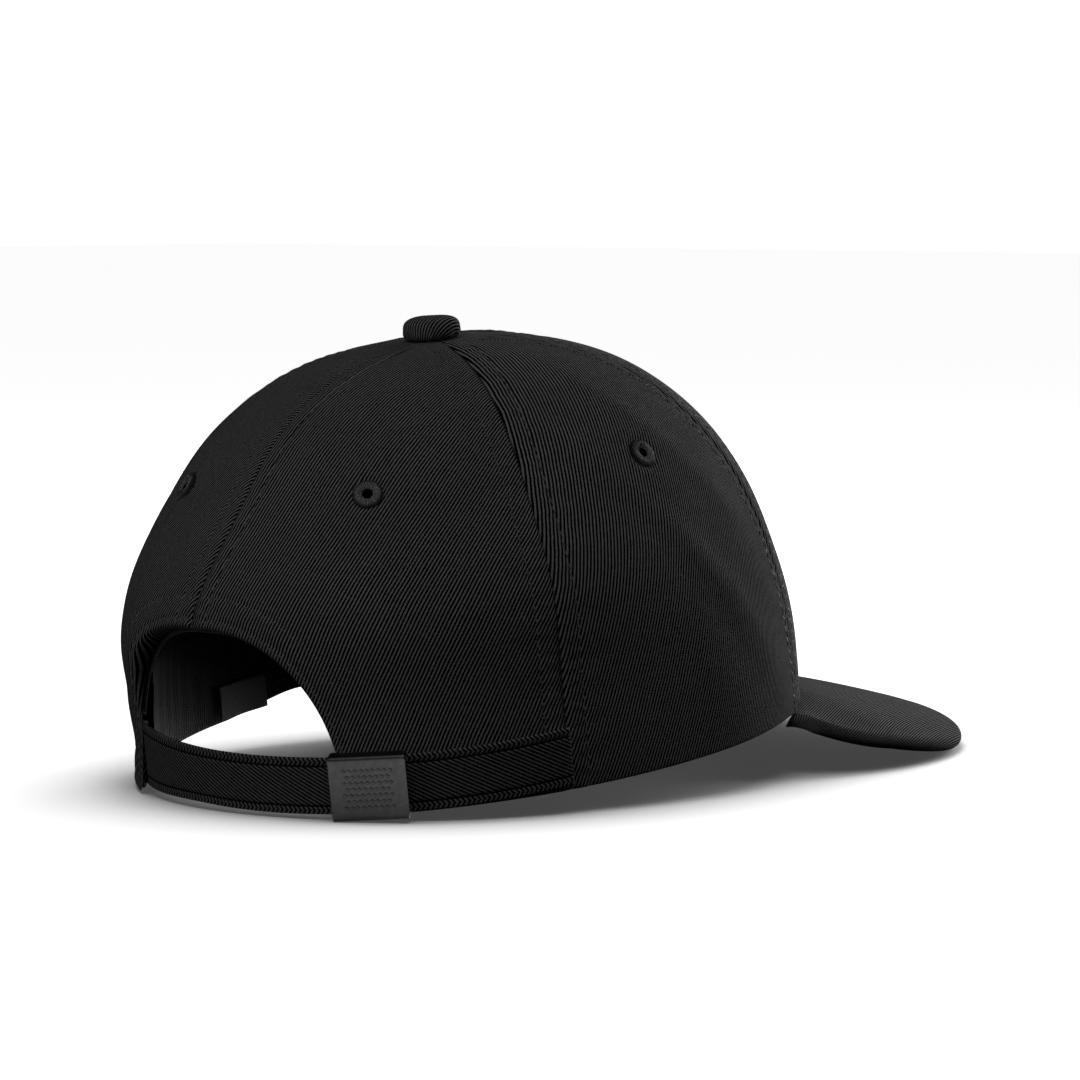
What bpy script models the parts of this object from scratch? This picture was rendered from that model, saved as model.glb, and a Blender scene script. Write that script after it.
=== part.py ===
"""Six-panel baseball cap with a curved visor, a rear arch and a flip-clasp strap.

Run with: blender --background --python part.py

Lengths are millimetres in the cap's own frame and become metres when a mesh
is made.  In that frame the rim lies in the plane z = 0, the visor points
along -Y and the wearer's right is -X.  The cap then stands on the floor,
pitched back so that the rear rim and the visor's front corners touch it.
Angles round the crown run from the rear (+Y) towards the wearer's right.
"""

from math import acos, asin, cos, degrees, pi, radians, sin, sqrt

import bmesh
import bpy
from mathutils import Matrix, Vector

MM = 0.001

# ---- stance -------------------------------------------------------------
PITCH = 6.8                  # degrees that the visor end is raised
LIFT = 11.94                # height of the rim's centre above the floor
SHIFT = 29.0                 # moves the cap so that the world origin is below its middle

# ---- crown --------------------------------------------------------------
HALF_WIDTH = 83.3
REAR_LENGTH = 106.8
FRONT_LENGTH = 95.1
CROWN_HEIGHT = 108.7
APEX_Y = 6.7
PLAN_POWER = 0.80            # how fast the crown closes in towards the top
RISE_POWER = 0.85            # how fast it rises from the rim
PANEL_THICKNESS = 1.1
TOP_HOLE_RADIUS = 4.2        # the panels stop here, round the button's stem
SEAM_GAP = 0.3
SIDE_SEAM = 62.8             # degrees from the rear centre seam
FRONT_SEAM = 122.6
REAR_SEAM_LEAN = ((0.24, -2.0), (0.50, 1.1), (1.0, 0.0))   # climb, degrees
RIM_RISE = 3.2               # the rim's left side lifts this much ...
RIM_RISE_FROM = (240.0, 256.0)   # ... growing between these angles ...
RIM_RISE_TO = (264.0, 283.0)     # ... and ending between these

# ---- rear arch ----------------------------------------------------------
ARCH_HALF_ANGLES = {"right": 27.3, "left": 24.6}
ARCH_HEIGHT = 46.7
ARCH_POWERS = {"right": 2.28, "left": 3.0}   # the left half is squarer
BINDING_WIDTH = 9.0
BINDING_FOOT = 22.0          # the binding stops above the strap

# ---- layers inside the crown, as depths below its outer face --------------
STIFFENER_DEPTHS = (1.5, 2.0)
TAPE_DEPTHS = (2.8, 3.3)
BINDING_DEPTHS = (1.9, 2.4)
SWEATBAND_DEPTHS = (4.6, 5.7)
STIFFENER_TOP = 66.0
TAPE_HALF_WIDTH = 7.0
SWEATBAND_FOOT = 0.8
SWEATBAND_TOP = 32.0
SWEATBAND_ENDS = (29.8, 332.9)   # degrees, beside the arch

# ---- eyelets --------------------------------------------------------------
EYELET_CLIMB = 43.3          # degrees of climb from the rim
EYELET_ANGLES = {"rear_right": 31.2, "side_right": 91.5, "front_right": 151.0,
                 "front_left": 209.0, "side_left": 268.5, "rear_left": 335.0}
EYELET_RADIUS = 4.0
EYELET_NECK = 2.5
EYELET_HOLE = 1.3

# ---- button ---------------------------------------------------------------
BUTTON_RADIUS = 8.0
BUTTON_HEIGHT = 6.3
BUTTON_CLOTH = 0.8
BUTTON_STEM = 1.6

# ---- visor ----------------------------------------------------------------
VISOR_ROOT_ANGLE = 118.0     # where the visor meets the crown's side
VISOR_HALF_WIDTH = 84.4
VISOR_FRONT = 163.3          # how far forward it reaches
VISOR_WIDEST_Y = 76.7
VISOR_CORNER = (75.3, 45.8)
VISOR_TURN = 0.72            # share of the outline that is the front curve
VISOR_ROOT_TUCK = 2.0        # depth of the root below the crown's outer face
VISOR_ROOT_Z = -2.5
VISOR_FALL = 0.38
VISOR_ARCH_RADIUS = 181.0
VISOR_DROP = 0.95
VISOR_SIDE_DROP = 5.0        # how far its back corners are pulled down ...
VISOR_SIDE_SHARE = 0.58      # ... beyond this share of the outline
VISOR_LEAST_WIDTH = 12.0     # where it is narrower, its folded edge narrows too
VISOR_BOARD = 0.9            # half thickness of the board
VISOR_CLOTH = 0.8
VISOR_REACH = 0.995          # share of the way to the corners that the covers go
VISOR_BOARD_REACH = 0.88
VISOR_CLOTH_GAP = 0.4

# ---- strap and clasp --------------------------------------------------------
STRAP_CENTRE = (-5.3, 31.4, 13.1)
STRAP_RADIUS = 73.7
STRAP_TILT = 3.5             # the strap's plane dips this much ...
STRAP_DIP_ANGLE = 34.0       # ... towards this side
STRAP_START = -45.0          # sewn end, inside the left rear panel
STRAP_END = 74.8             # free tail
STRAP_WIDTH = 15.0
STRAP_THICKNESS = 1.4
CLASP_ANGLE = 33.1
CLASP_HALF_LENGTH = 10.1
CLASP_WALL_IN = 7.65
CLASP_WALL_OUT = 7.92
CLASP_FLOOR = (-1.45, -0.95)  # frame's floor, from the strap's middle outwards
CLASP_WALL_TOP = 2.6
CLASP_JOGGLE_X = -8.3        # left of here the floor steps in for the tab
CLASP_JOGGLE = 1.3
COVER_HALF_HEIGHT = 8.55
COVER_SHEET = 0.6
COVER_FACE = 3.65
COVER_FOLD = 1.0
COVER_LIP = -0.6             # how far in the folded edges reach
COVER_BOW = 0.06
PIN_X = -9.2
PIN_Y = 1.8
PIN_RADIUS = 0.4
KNUCKLE_HOLE = 0.55
KNUCKLE_RADIUS = 0.95
TAB_THICKNESS = 0.7
TAB_HALF_WIDTH = 4.8
TAB_PATH = ((2.0, -6.35), (-2.0, -6.35), (-6.0, -6.2), (-8.6, -5.6), (-10.2, -4.6),
            (-10.95, -3.4), (-10.6, -2.15), (-9.7, -1.6), (-8.8, -1.9), (-8.35, -2.8),
            (-8.3, -4.1), (-8.0, -5.05), (-6.6, -5.5), (-2.0, -5.5), (2.0, -5.5))

# ---- label ------------------------------------------------------------------
LABEL_ANGLE = 278.5
LABEL_HALF_WIDTH = 8.5
LABEL_HEIGHTS = (1.6, 11.0)
LABEL_DEPTHS = (6.1, 6.5)

# ---- colours (linear) ---------------------------------------------------------
CLOTH_BLACK = (0.020, 0.020, 0.021)
WEB_BLACK = (0.024, 0.024, 0.025)
LINING_BLACK = (0.012, 0.012, 0.013)
STIFFENER_GREY = (0.05, 0.05, 0.05)
BOARD_GREY = (0.03, 0.03, 0.03)
GUNMETAL = (0.16, 0.155, 0.15)
STEEL = (0.42, 0.42, 0.42)
LABEL_GREY = (0.03, 0.03, 0.032)


# ---- small helpers ------------------------------------------------------------

def smooth(t):
    """Ease from 0 to 1 with a flat start and end."""
    t = min(max(t, 0.0), 1.0)
    return t * t * (3 - 2 * t)


def mix(a, b, t):
    return a + (b - a) * t


def spread(start, stop, count):
    """Evenly spaced values from start to stop."""
    return [mix(start, stop, i / (count - 1)) for i in range(count)]


def side_angle(angle):
    """Angle folded to -180..180, so that 0 is the rear."""
    return (angle + 180.0) % 360.0 - 180.0


# ---- crown surface --------------------------------------------------------------

def crown_face(angle, climb):
    """Point of the crown's outer face; climb runs from 0 (rim) to 90 (top)."""
    a = radians(angle)
    c = radians(climb)
    close = max(cos(c), 1e-9) ** PLAN_POWER
    rise = max(sin(c), 0.0) ** RISE_POWER
    length = REAR_LENGTH if cos(a) > 0 else FRONT_LENGTH
    x = -HALF_WIDTH * sin(a) * close
    y = length * cos(a) * close + APEX_Y * (1 - close)
    return Vector((x, y, CROWN_HEIGHT * rise))


def crown_normal(angle, climb):
    """Outward unit normal of the crown's outer face."""
    low = min(max(climb, 0.6), 89.0)
    along = crown_face(angle + 0.2, low) - crown_face(angle - 0.2, low)
    up = crown_face(angle, low + 0.3) - crown_face(angle, low - 0.3)
    return along.cross(up).normalized()


def crown_point(angle, climb, depth=0.0):
    """Point at a depth below the crown's outer face, kept at its height near the rim."""
    normal = crown_normal(angle, climb)
    flat = Vector((normal.x, normal.y, 0.0)).normalized()
    direction = flat.lerp(normal, smooth(climb / 12.0)).normalized()
    return crown_face(angle, climb) - direction * depth


def climb_at(height):
    """Climb at which the crown reaches a height above the rim."""
    return degrees(asin(min(max(height / CROWN_HEIGHT, 0.0), 1.0) ** (1 / RISE_POWER)))


def top_climb(radius):
    """Climb at which the crown has closed in to a radius."""
    return degrees(acos((radius / HALF_WIDTH) ** (1 / PLAN_POWER)))


def rear_seam(climb):
    """The rear centre seam leans a little to either side on its way up."""
    t = climb / 90.0
    knots = REAR_SEAM_LEAN
    if t <= knots[0][0]:
        return knots[0][1]
    for (t0, a0), (t1, a1) in zip(knots, knots[1:]):
        if t <= t1:
            return mix(a0, a1, smooth((t - t0) / (t1 - t0)))
    return knots[-1][1]


def seam_angle(name, climb):
    fixed = {"side_right": SIDE_SEAM, "front_right": FRONT_SEAM, "front": 180.0,
             "front_left": 360.0 - FRONT_SEAM, "side_left": 360.0 - SIDE_SEAM}
    if name == "rear":
        return rear_seam(climb)
    if name == "rear_again":
        return 360.0 + rear_seam(climb)
    return fixed[name]


def arch_side(angle):
    return "right" if side_angle(angle) > 0 else "left"


def arch_height(angle, wider=0.0, taller=0.0):
    """Height of the arch's edge above the rim, 0 outside it."""
    side = arch_side(angle)
    power = ARCH_POWERS[side]
    t = abs(side_angle(angle)) / (ARCH_HALF_ANGLES[side] + wider)
    if t >= 1:
        return 0.0
    return (ARCH_HEIGHT + taller) * (1 - t ** power) ** (1 / power)


def rim_rise(angle):
    """Height of the rim above its plane."""
    start = smooth((angle - RIM_RISE_FROM[0]) / (RIM_RISE_FROM[1] - RIM_RISE_FROM[0]))
    stop = smooth((RIM_RISE_TO[1] - angle) / (RIM_RISE_TO[1] - RIM_RISE_TO[0]))
    return RIM_RISE * min(start, stop)


# ---- mesh makers ------------------------------------------------------------------

def finish_mesh(name, vertices, faces):
    """Closed mesh in metres, with its faces turned outwards."""
    mesh = bpy.data.meshes.new(name)
    mesh.from_pydata([tuple(Vector(v) * MM) for v in vertices], [], faces)
    shape = bmesh.new()
    shape.from_mesh(mesh)
    bmesh.ops.remove_doubles(shape, verts=shape.verts, dist=1e-7)
    bmesh.ops.recalc_face_normals(shape, faces=shape.faces)
    shape.to_mesh(mesh)
    shape.free()
    return mesh


def add_object(name, mesh, material, parent):
    obj = bpy.data.objects.new(name, mesh)
    bpy.context.collection.objects.link(obj)
    obj.parent = parent
    if material is not None:
        obj.data.materials.append(material)
    return obj


def shell(name, outer, inner, material, parent):
    """Solid between two point grids of the same size."""
    columns = len(outer)
    rows = len(outer[0])
    vertices = [p for column in outer for p in column]
    vertices += [p for column in inner for p in column]
    offset = columns * rows
    faces = []
    for i in range(columns - 1):
        for j in range(rows - 1):
            a = i * rows + j
            quad = (a, a + rows, a + rows + 1, a + 1)
            faces.append(quad)
            faces.append(tuple(offset + k for k in reversed(quad)))
    border = [i * rows for i in range(columns)]
    border += [(columns - 1) * rows + j for j in range(1, rows)]
    border += [i * rows + rows - 1 for i in range(columns - 2, -1, -1)]
    border += [j for j in range(rows - 2, 0, -1)]
    for a, b in zip(border, border[1:] + border[:1]):
        faces.append((a, b, offset + b, offset + a))
    return add_object(name, finish_mesh(name, vertices, faces), material, parent)


def loft(name, sections, material, parent, closed=False):
    """Solid through a row of closed sections with equal point counts."""
    count = len(sections[0])
    vertices = [p for section in sections for p in section]
    faces = []
    spans = len(sections) if closed else len(sections) - 1
    for s in range(spans):
        here = s * count
        there = ((s + 1) % len(sections)) * count
        for k in range(count):
            n = (k + 1) % count
            faces.append((here + k, here + n, there + n, there + k))
    if not closed:
        faces.append(tuple(range(count)))
        last = (len(sections) - 1) * count
        faces.append(tuple(last + k for k in range(count)))
    return add_object(name, finish_mesh(name, vertices, faces), material, parent)


def revolve(name, profile, segments, material, parent):
    """Ring solid: a closed profile of (radius, height) turned about Z."""
    sections = []
    for s in range(segments):
        a = 2 * pi * s / segments
        sections.append([(r * cos(a), r * sin(a), h) for r, h in profile])
    return loft(name, sections, material, parent, closed=True)


def cylinder_cutter(name, radius, low, high, segments, parent, place=None):
    """Hidden cylinder along Z for a Boolean."""
    sections = []
    for h in (low, high):
        ring = [2 * pi * s / segments for s in range(segments)]
        sections.append([(radius * cos(a), radius * sin(a), h) for a in ring])
    obj = loft(name, sections, None, parent)
    if place is not None:
        obj.matrix_local = place
    obj.hide_render = True
    obj.display_type = "WIRE"
    return obj


def boolean(target, other, operation):
    modifier = target.modifiers.new(operation.title(), "BOOLEAN")
    modifier.operation = operation
    modifier.solver = "EXACT"
    modifier.object = other


def make_material(name, colour, roughness, metallic=0.0):
    material = bpy.data.materials.new(name)
    material.use_nodes = True
    shader = material.node_tree.nodes["Principled BSDF"]
    shader.inputs["Base Color"].default_value = (*colour, 1.0)
    shader.inputs["Roughness"].default_value = roughness
    shader.inputs["Metallic"].default_value = metallic
    return material


def add_empty(name, parent, matrix):
    empty = bpy.data.objects.new(name, None)
    bpy.context.collection.objects.link(empty)
    empty.parent = parent
    empty.matrix_local = matrix
    return empty


def millimetre_move(x, y, z):
    return Matrix.Translation(Vector((x, y, z)) * MM)


# ---- crown pieces -------------------------------------------------------------------

def low_climb(angle):
    """Climb of a panel's lower edge: the rim, or the arch's edge at the rear."""
    return climb_at(max(arch_height(angle), rim_rise(angle)))


def panel_columns(first, last):
    """Shares of the way across a panel; closer together near the arch's foot."""
    if "rear" not in (first, last) and "rear_again" not in (first, last):
        return spread(0.0, 1.0, 10)
    stops = (0.0, 6.0, 11.0, 15.5, 19.5, 22.5, 25.0, 26.7, 27.3, 33.0, 40.0, 47.0, 55.0, SIDE_SEAM)
    shares = [s / SIDE_SEAM for s in stops]
    if first == "rear":
        return shares
    return [1.0 - s for s in reversed(shares)]


def across_panel(first, last, share, climb):
    """Angle at a share of the way from one seam to the next, clear of both."""
    radius = max(HALF_WIDTH * max(cos(radians(climb)), 1e-6) ** PLAN_POWER, 1.0)
    gap = degrees(0.5 * SEAM_GAP / radius)
    start = seam_angle(first, climb) + gap
    return mix(start, seam_angle(last, climb) - gap, share)


def crown_panel(side, first, last, rows, material, parent):
    """One gore of the crown, as a thin shell."""
    outer = []
    inner = []
    for share in panel_columns(first, last):
        low = 0.0
        for _ in range(4):
            low = low_climb(across_panel(first, last, share, low))
        climbs = spread(low, top_climb(TOP_HOLE_RADIUS), rows)
        angles = [across_panel(first, last, share, c) for c in climbs]
        outer.append([crown_point(a, c) for a, c in zip(angles, climbs)])
        inner.append([crown_point(a, c, PANEL_THICKNESS) for a, c in zip(angles, climbs)])
    return shell("panel_" + side, outer, inner, material, parent)


def face_matrix(angle, climb):
    """Frame on the crown's outer face with Z along its outward normal."""
    normal = crown_normal(angle, climb)
    turn = normal.to_track_quat("Z", "Y").to_matrix().to_4x4()
    return Matrix.Translation(crown_face(angle, climb) * MM) @ turn


def eyelet(side, panel, material, parent):
    """Stitched eyelet through a panel, and the hole that it fills."""
    place = face_matrix(EYELET_ANGLES[side], EYELET_CLIMB)
    profile = ((EYELET_HOLE, -2.3), (EYELET_RADIUS, -2.3), (EYELET_RADIUS, -1.75),
               (EYELET_NECK, -1.75), (EYELET_NECK, 0.5), (EYELET_RADIUS, 0.5),
               (EYELET_RADIUS - 0.4, 0.95), (EYELET_HOLE, 0.95))
    ring = revolve("eyelet_" + side, profile, 16, material, parent)
    ring.matrix_local = place
    hole = cylinder_cutter("hole_" + side, EYELET_NECK + 0.3, -4.0, 4.0, 16, parent, place)
    boolean(panel, hole, "DIFFERENCE")
    ring.data.shade_smooth()


def seam_tape(name, seam, foot, material, parent):
    """Narrow tape over a seam, inside; it tapers where the seams come together."""
    climbs = spread(climb_at(foot), top_climb(8.2), 11)
    outer = []
    inner = []
    for across in (-1.0, 0.0, 1.0):
        columns = ([], [])
        for c in climbs:
            radius = HALF_WIDTH * cos(radians(c)) ** PLAN_POWER
            half = min(TAPE_HALF_WIDTH, 0.42 * radius)
            angle = seam_angle(seam, c) + degrees(across * half / radius)
            for column, depth in zip(columns, TAPE_DEPTHS):
                column.append(crown_point(angle, c, depth))
        outer.append(columns[0])
        inner.append(columns[1])
    return shell(name, outer, inner, material, parent)


def band_inside(name, angles, heights, depths, material, parent):
    """Band that follows the inside of the crown between two heights."""
    grids = []
    for depth in depths:
        grid = []
        for a in angles:
            lifted = [h + rim_rise(a) * (1 - h / heights[-1]) for h in heights]
            grid.append([crown_point(a, climb_at(h), depth) for h in lifted])
        grids.append(grid)
    return shell(name, grids[0], grids[1], material, parent)


def arch_binding(material, parent):
    """Folded tape along the arch's edge, inside the rear panels."""
    grids = ([], [])
    reach = degrees(BINDING_WIDTH / REAR_LENGTH) * 1.5
    for share in spread(-1.0, 1.0, 21):
        columns = ([], [])
        for step in (0.0, 0.5, 1.0):
            half = ARCH_HALF_ANGLES[arch_side(share)] + reach * step
            top = ARCH_HEIGHT + BINDING_WIDTH * step
            power = ARCH_POWERS[arch_side(share)]
            foot = half * (1 - (BINDING_FOOT / top) ** power) ** (1 / power)
            angle = foot * sin(share * pi / 2)
            climb = climb_at(arch_height(angle, reach * step, BINDING_WIDTH * step))
            for column, depth in zip(columns, BINDING_DEPTHS):
                column.append(crown_point(angle, climb, depth))
        grids[0].append(columns[0])
        grids[1].append(columns[1])
    return shell("arch_binding", grids[0], grids[1], material, parent)


def make_crown(cloth, thread, lining, stiff, parent):
    seams = ("rear", "side_right", "front_right", "front", "front_left", "side_left",
             "rear_again")
    sides = ("rear_right", "side_right", "front_right", "front_left", "side_left",
             "rear_left")
    for side, first, last in zip(sides, seams, seams[1:]):
        panel = crown_panel(side, first, last, 12, cloth, parent)
        eyelet(side, panel, thread, parent)
    for seam in seams[:-1]:
        foot = ARCH_HEIGHT + BINDING_WIDTH + 1.5 if seam == "rear" else SWEATBAND_TOP + 4
        seam_tape("seam_tape_" + seam, seam, foot, lining, parent)
    for side, start, stop in (("right", FRONT_SEAM, 180.0), ("left", 180.0, 360.0 - FRONT_SEAM)):
        angles = spread(start + 0.3, stop - 0.3, 7)
        band_inside("stiffener_" + side, angles, spread(1.0, STIFFENER_TOP, 8),
                    STIFFENER_DEPTHS, stiff, parent)
    around = spread(*SWEATBAND_ENDS, 45)
    band_inside("sweatband", around, (SWEATBAND_FOOT, 16.0, SWEATBAND_TOP),
                SWEATBAND_DEPTHS, lining, parent)
    arch_binding(lining, parent)


def make_label(material, parent):
    reach = degrees(LABEL_HALF_WIDTH / HALF_WIDTH)
    angles = spread(LABEL_ANGLE - reach, LABEL_ANGLE + reach, 4)
    grids = []
    for depth in LABEL_DEPTHS:
        grids.append([[crown_point(a, 0.0, depth) + Vector((0, 0, h)) for h in LABEL_HEIGHTS]
                      for a in angles])
    shell("inner_label", grids[0], grids[1], material, parent)


# ---- button -----------------------------------------------------------------------------

def dome(radius, low, high, steps):
    """Quarter of an oval from the rim of a dome to just beside its axis."""
    points = []
    for t in spread(0.0, 0.97, steps):
        a = t * pi / 2
        points.append((radius * cos(a) ** 0.8, low + (high - low) * sin(a)))
    return points


def solid_turn(name, profile, segments, material, parent):
    """Solid turned about Z from a profile that starts and ends on the axis."""
    vertices = [(0.0, 0.0, profile[0][1]), (0.0, 0.0, profile[-1][1])]
    rings = profile[1:-1]
    for r, h in rings:
        ring = [2 * pi * s / segments for s in range(segments)]
        vertices += [(r * cos(a), r * sin(a), h) for a in ring]
    faces = []
    last = 2 + (len(rings) - 1) * segments
    for s in range(segments):
        n = (s + 1) % segments
        faces.append((0, 2 + s, 2 + n))
        faces.append((1, last + n, last + s))
        for k in range(len(rings) - 1):
            a = 2 + k * segments
            faces.append((a + s, a + segments + s, a + segments + n, a + n))
    return add_object(name, finish_mesh(name, vertices, faces), material, parent)


def make_button(cloth, metal, parent):
    top = add_empty("button_seat", parent, millimetre_move(0.0, APEX_Y, CROWN_HEIGHT))
    skin = dome(BUTTON_RADIUS, 2.2, BUTTON_HEIGHT, 6)
    lining = dome(BUTTON_RADIUS - BUTTON_CLOTH, 2.2, BUTTON_HEIGHT - BUTTON_CLOTH, 5)
    profile = [(0.0, BUTTON_HEIGHT)] + skin[::-1] + [(BUTTON_RADIUS - 0.3, 0.4)]
    profile += [(BUTTON_RADIUS - BUTTON_CLOTH - 0.3, 0.4)] + lining
    profile += [(0.0, BUTTON_HEIGHT - BUTTON_CLOTH)]
    cover = solid_turn("button_cover", profile, 20, cloth, top)
    core = dome(BUTTON_RADIUS - BUTTON_CLOTH - 0.35, 1.9, BUTTON_HEIGHT - BUTTON_CLOTH - 0.3, 5)
    profile = [(0.0, BUTTON_HEIGHT - BUTTON_CLOTH - 0.3)] + core[::-1]
    profile += [(BUTTON_RADIUS - BUTTON_CLOTH - 0.6, 0.9), (BUTTON_STEM, 0.9)]
    profile += [(BUTTON_STEM, -4.0), (0.0, -4.0)]
    shell_core = solid_turn("button_shell", profile, 16, metal, top)
    washer = revolve("button_washer", ((1.9, -3.8), (7.0, -3.8), (7.0, -3.1), (1.9, -3.1)),
                     16, metal, top)
    for obj in (cover, shell_core, washer):
        obj.data.shade_smooth()


# ---- visor --------------------------------------------------------------------------------

def visor_sheet(x, y):
    """Height of the visor's middle: it falls forwards and is arched across."""
    fall = VISOR_FALL * (y + FRONT_LENGTH)
    return VISOR_DROP + fall - (VISOR_ARCH_RADIUS - sqrt(VISOR_ARCH_RADIUS ** 2 - x * x))


def visor_edge(u):
    """Plan of the outer edge, from u = -1 at the left corner to 1 at the right."""
    share = abs(u)
    if share <= VISOR_TURN:
        turn = share / VISOR_TURN * pi / 2
        x = VISOR_HALF_WIDTH * sin(turn)
        y = VISOR_WIDEST_Y + (VISOR_FRONT - VISOR_WIDEST_Y) * cos(turn)
    else:
        back = (share - VISOR_TURN) / (1 - VISOR_TURN)
        x = mix(VISOR_HALF_WIDTH, VISOR_CORNER[0], back * back)
        y = mix(VISOR_WIDEST_Y, VISOR_CORNER[1], back)
    return Vector((-x if u > 0 else x, -y, 0.0))


def visor_root(u):
    """Plan of the inner edge, tucked below the crown's front panels."""
    root = crown_point(180.0 - u * (180.0 - VISOR_ROOT_ANGLE), 0.0, VISOR_ROOT_TUCK)
    return Vector((root.x, root.y, 0.0))


def visor_point(u, v, up=0.0, out=0.0):
    """Point of the visor: v runs from root to edge, out lies past v, up is its normal."""
    root = visor_root(u)
    edge = visor_edge(u)
    v += out / max((edge - root).length, VISOR_LEAST_WIDTH)
    flat = root.lerp(edge, v)
    hold = (1 - v) ** 2
    drop = VISOR_SIDE_DROP * smooth((abs(u) - VISOR_SIDE_SHARE) / (1 - VISOR_SIDE_SHARE))
    lift = (VISOR_ROOT_Z - visor_sheet(root.x, root.y)) * hold - drop * (1 - hold)
    tilt = Vector((flat.x / VISOR_ARCH_RADIUS, -VISOR_FALL, 1.0)).normalized()
    middle = Vector((flat.x, flat.y, visor_sheet(flat.x, flat.y) + lift))
    return middle + tilt * up


def visor_piece(name, section, reach, material, parent):
    """Visor layer lofted across from a section of (v, up, out) points."""
    steps = [VISOR_REACH * (sin(t * pi / 2) * 0.35 + t * 0.65) for t in spread(-1.0, 1.0, 29)]
    sections = [[visor_point(u, *point) for point in section] for u in steps if abs(u) <= reach]
    return loft(name, sections, material, parent)


def make_visor(cloth, board, parent):
    top = VISOR_BOARD + VISOR_CLOTH_GAP
    skin = top + VISOR_CLOTH
    stations = (0.0, 0.25, 0.5, 0.75)

    def run(height):
        return [(v, height, 0.0) for v in stations]

    board_section = run(VISOR_BOARD) + [(1.0, VISOR_BOARD, -1.8), (1.0, 0.0, -1.3),
                                        (1.0, -VISOR_BOARD, -1.8)]
    board_section += run(-VISOR_BOARD)[::-1]
    visor_piece("visor_board", board_section, VISOR_BOARD_REACH, board, parent)
    wrap = [(1.0, skin, -1.4), (1.0, skin - 0.8, -0.2), (1.0, 0.0, 0.2), (1.0, 0.8 - skin, -0.2),
            (1.0, -skin, -1.4), (1.0, -skin, -2.2), (1.0, -top, -2.2), (1.0, -top, -1.4),
            (1.0, 0.0, -0.7), (1.0, top, -1.4)]
    visor_piece("visor_top_cover", run(skin) + wrap + run(top)[::-1], VISOR_REACH, cloth, parent)
    under = run(-top) + [(1.0, -top, -2.7), (1.0, -skin, -2.7)] + run(-skin)[::-1]
    visor_piece("visor_under_cover", under, VISOR_REACH, cloth, parent)


# ---- strap and clasp ----------------------------------------------------------------------------

def strap_frame(parent):
    """Empty on the axis that the strap's arc turns about."""
    dip = radians(STRAP_DIP_ANGLE)
    towards = Vector((-sin(dip), cos(dip), 0.0))
    axis = Vector((0, 0, 1)).cross(towards)
    tilt = Matrix.Rotation(radians(STRAP_TILT), 4, axis)
    return add_empty("strap_axis", parent, millimetre_move(*STRAP_CENTRE) @ tilt)


def arc_point(angle, radius, height):
    a = radians(angle)
    return (-radius * sin(a), radius * cos(a), height)


def make_strap(webbing, axis):
    half = STRAP_THICKNESS / 2
    width = STRAP_WIDTH / 2
    sections = []
    for angle in spread(STRAP_START, STRAP_END, 32):
        sections.append([arc_point(angle, STRAP_RADIUS + r, h)
                         for r, h in ((-half, -width), (half, -width), (half, width), (-half, width))])
    return loft("strap", sections, webbing, axis)


def clasp_sag(x):
    """How far the strap's arc falls behind its tangent at the clasp."""
    return x * x / (2 * STRAP_RADIUS)


def make_clasp_frame(metal, seat):
    """Channel that the strap runs through, with ears for the pin at one end."""
    sections = []
    ends = [CLASP_HALF_LENGTH * t for t in (-1.0, -0.985, -0.95, -0.91, -0.86)]
    for x in ends + [CLASP_JOGGLE_X, CLASP_JOGGLE_X + 0.7] + spread(-4.0, CLASP_HALF_LENGTH - 0.5, 6):
        floor_out, floor_in = (f - clasp_sag(x) for f in CLASP_FLOOR)
        if x <= CLASP_JOGGLE_X:
            floor_out -= CLASP_JOGGLE
            floor_in -= CLASP_JOGGLE
        off_pin = PIN_X - x
        wall = CLASP_WALL_TOP
        if off_pin > 0:
            wall = PIN_Y + sqrt(max(KNUCKLE_RADIUS ** 2 - off_pin ** 2, 0.0)) * 0.84
        half = ((floor_out, -CLASP_WALL_OUT), (wall, -CLASP_WALL_OUT), (wall, -CLASP_WALL_IN),
                (floor_in, -CLASP_WALL_IN))
        other = [(y, -z) for y, z in reversed(half)]
        sections.append([(x, y, z) for y, z in list(half) + other])
    frame = loft("clasp_frame", sections, metal, seat)
    slot_sections = []
    for z in (-TAB_HALF_WIDTH - 0.3, TAB_HALF_WIDTH + 0.3):
        slot_sections.append([(-9.0, -6.0, z), (-7.7, -6.0, z), (-7.7, -0.2, z), (-9.0, -0.2, z)])
    slot = loft("tab_slot", slot_sections, None, seat)
    slot.hide_render = True
    slot.display_type = "WIRE"
    boolean(frame, slot, "DIFFERENCE")
    bore = cylinder_cutter("pin_bore", KNUCKLE_HOLE, -12.0, 12.0, 12, seat,
                           millimetre_move(PIN_X, PIN_Y, 0.0))
    boolean(frame, bore, "DIFFERENCE")


def cover_section(x, lip):
    """C-shaped section of the cover: face, two folds and two edges."""
    fold = COVER_FOLD
    outer = [(lip, COVER_HALF_HEIGHT)]
    inner = [(lip, COVER_HALF_HEIGHT - 0.5)]
    for t in (0.0, 0.5, 1.0):
        a = t * pi / 2
        y = COVER_FACE - fold + fold * sin(a)
        z = COVER_HALF_HEIGHT - fold + fold * cos(a)
        outer.append((y, z))
        small = fold - 0.5
        y = COVER_FACE - COVER_SHEET - small + small * sin(a)
        z = COVER_HALF_HEIGHT - fold + small * cos(a)
        inner.append((y, z))
    ring = outer + [(y, -z) for y, z in reversed(outer)]
    ring += [(y, -z) for y, z in inner] + list(reversed(inner))
    points = []
    for y, z in ring:
        bow = 1 + COVER_BOW * (1 - (z / COVER_HALF_HEIGHT) ** 2)
        if x < 0:
            bow = 1 + 0.4 * (bow - 1)
        points.append((x * bow - PIN_X, y - PIN_Y, z))
    return points


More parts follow.
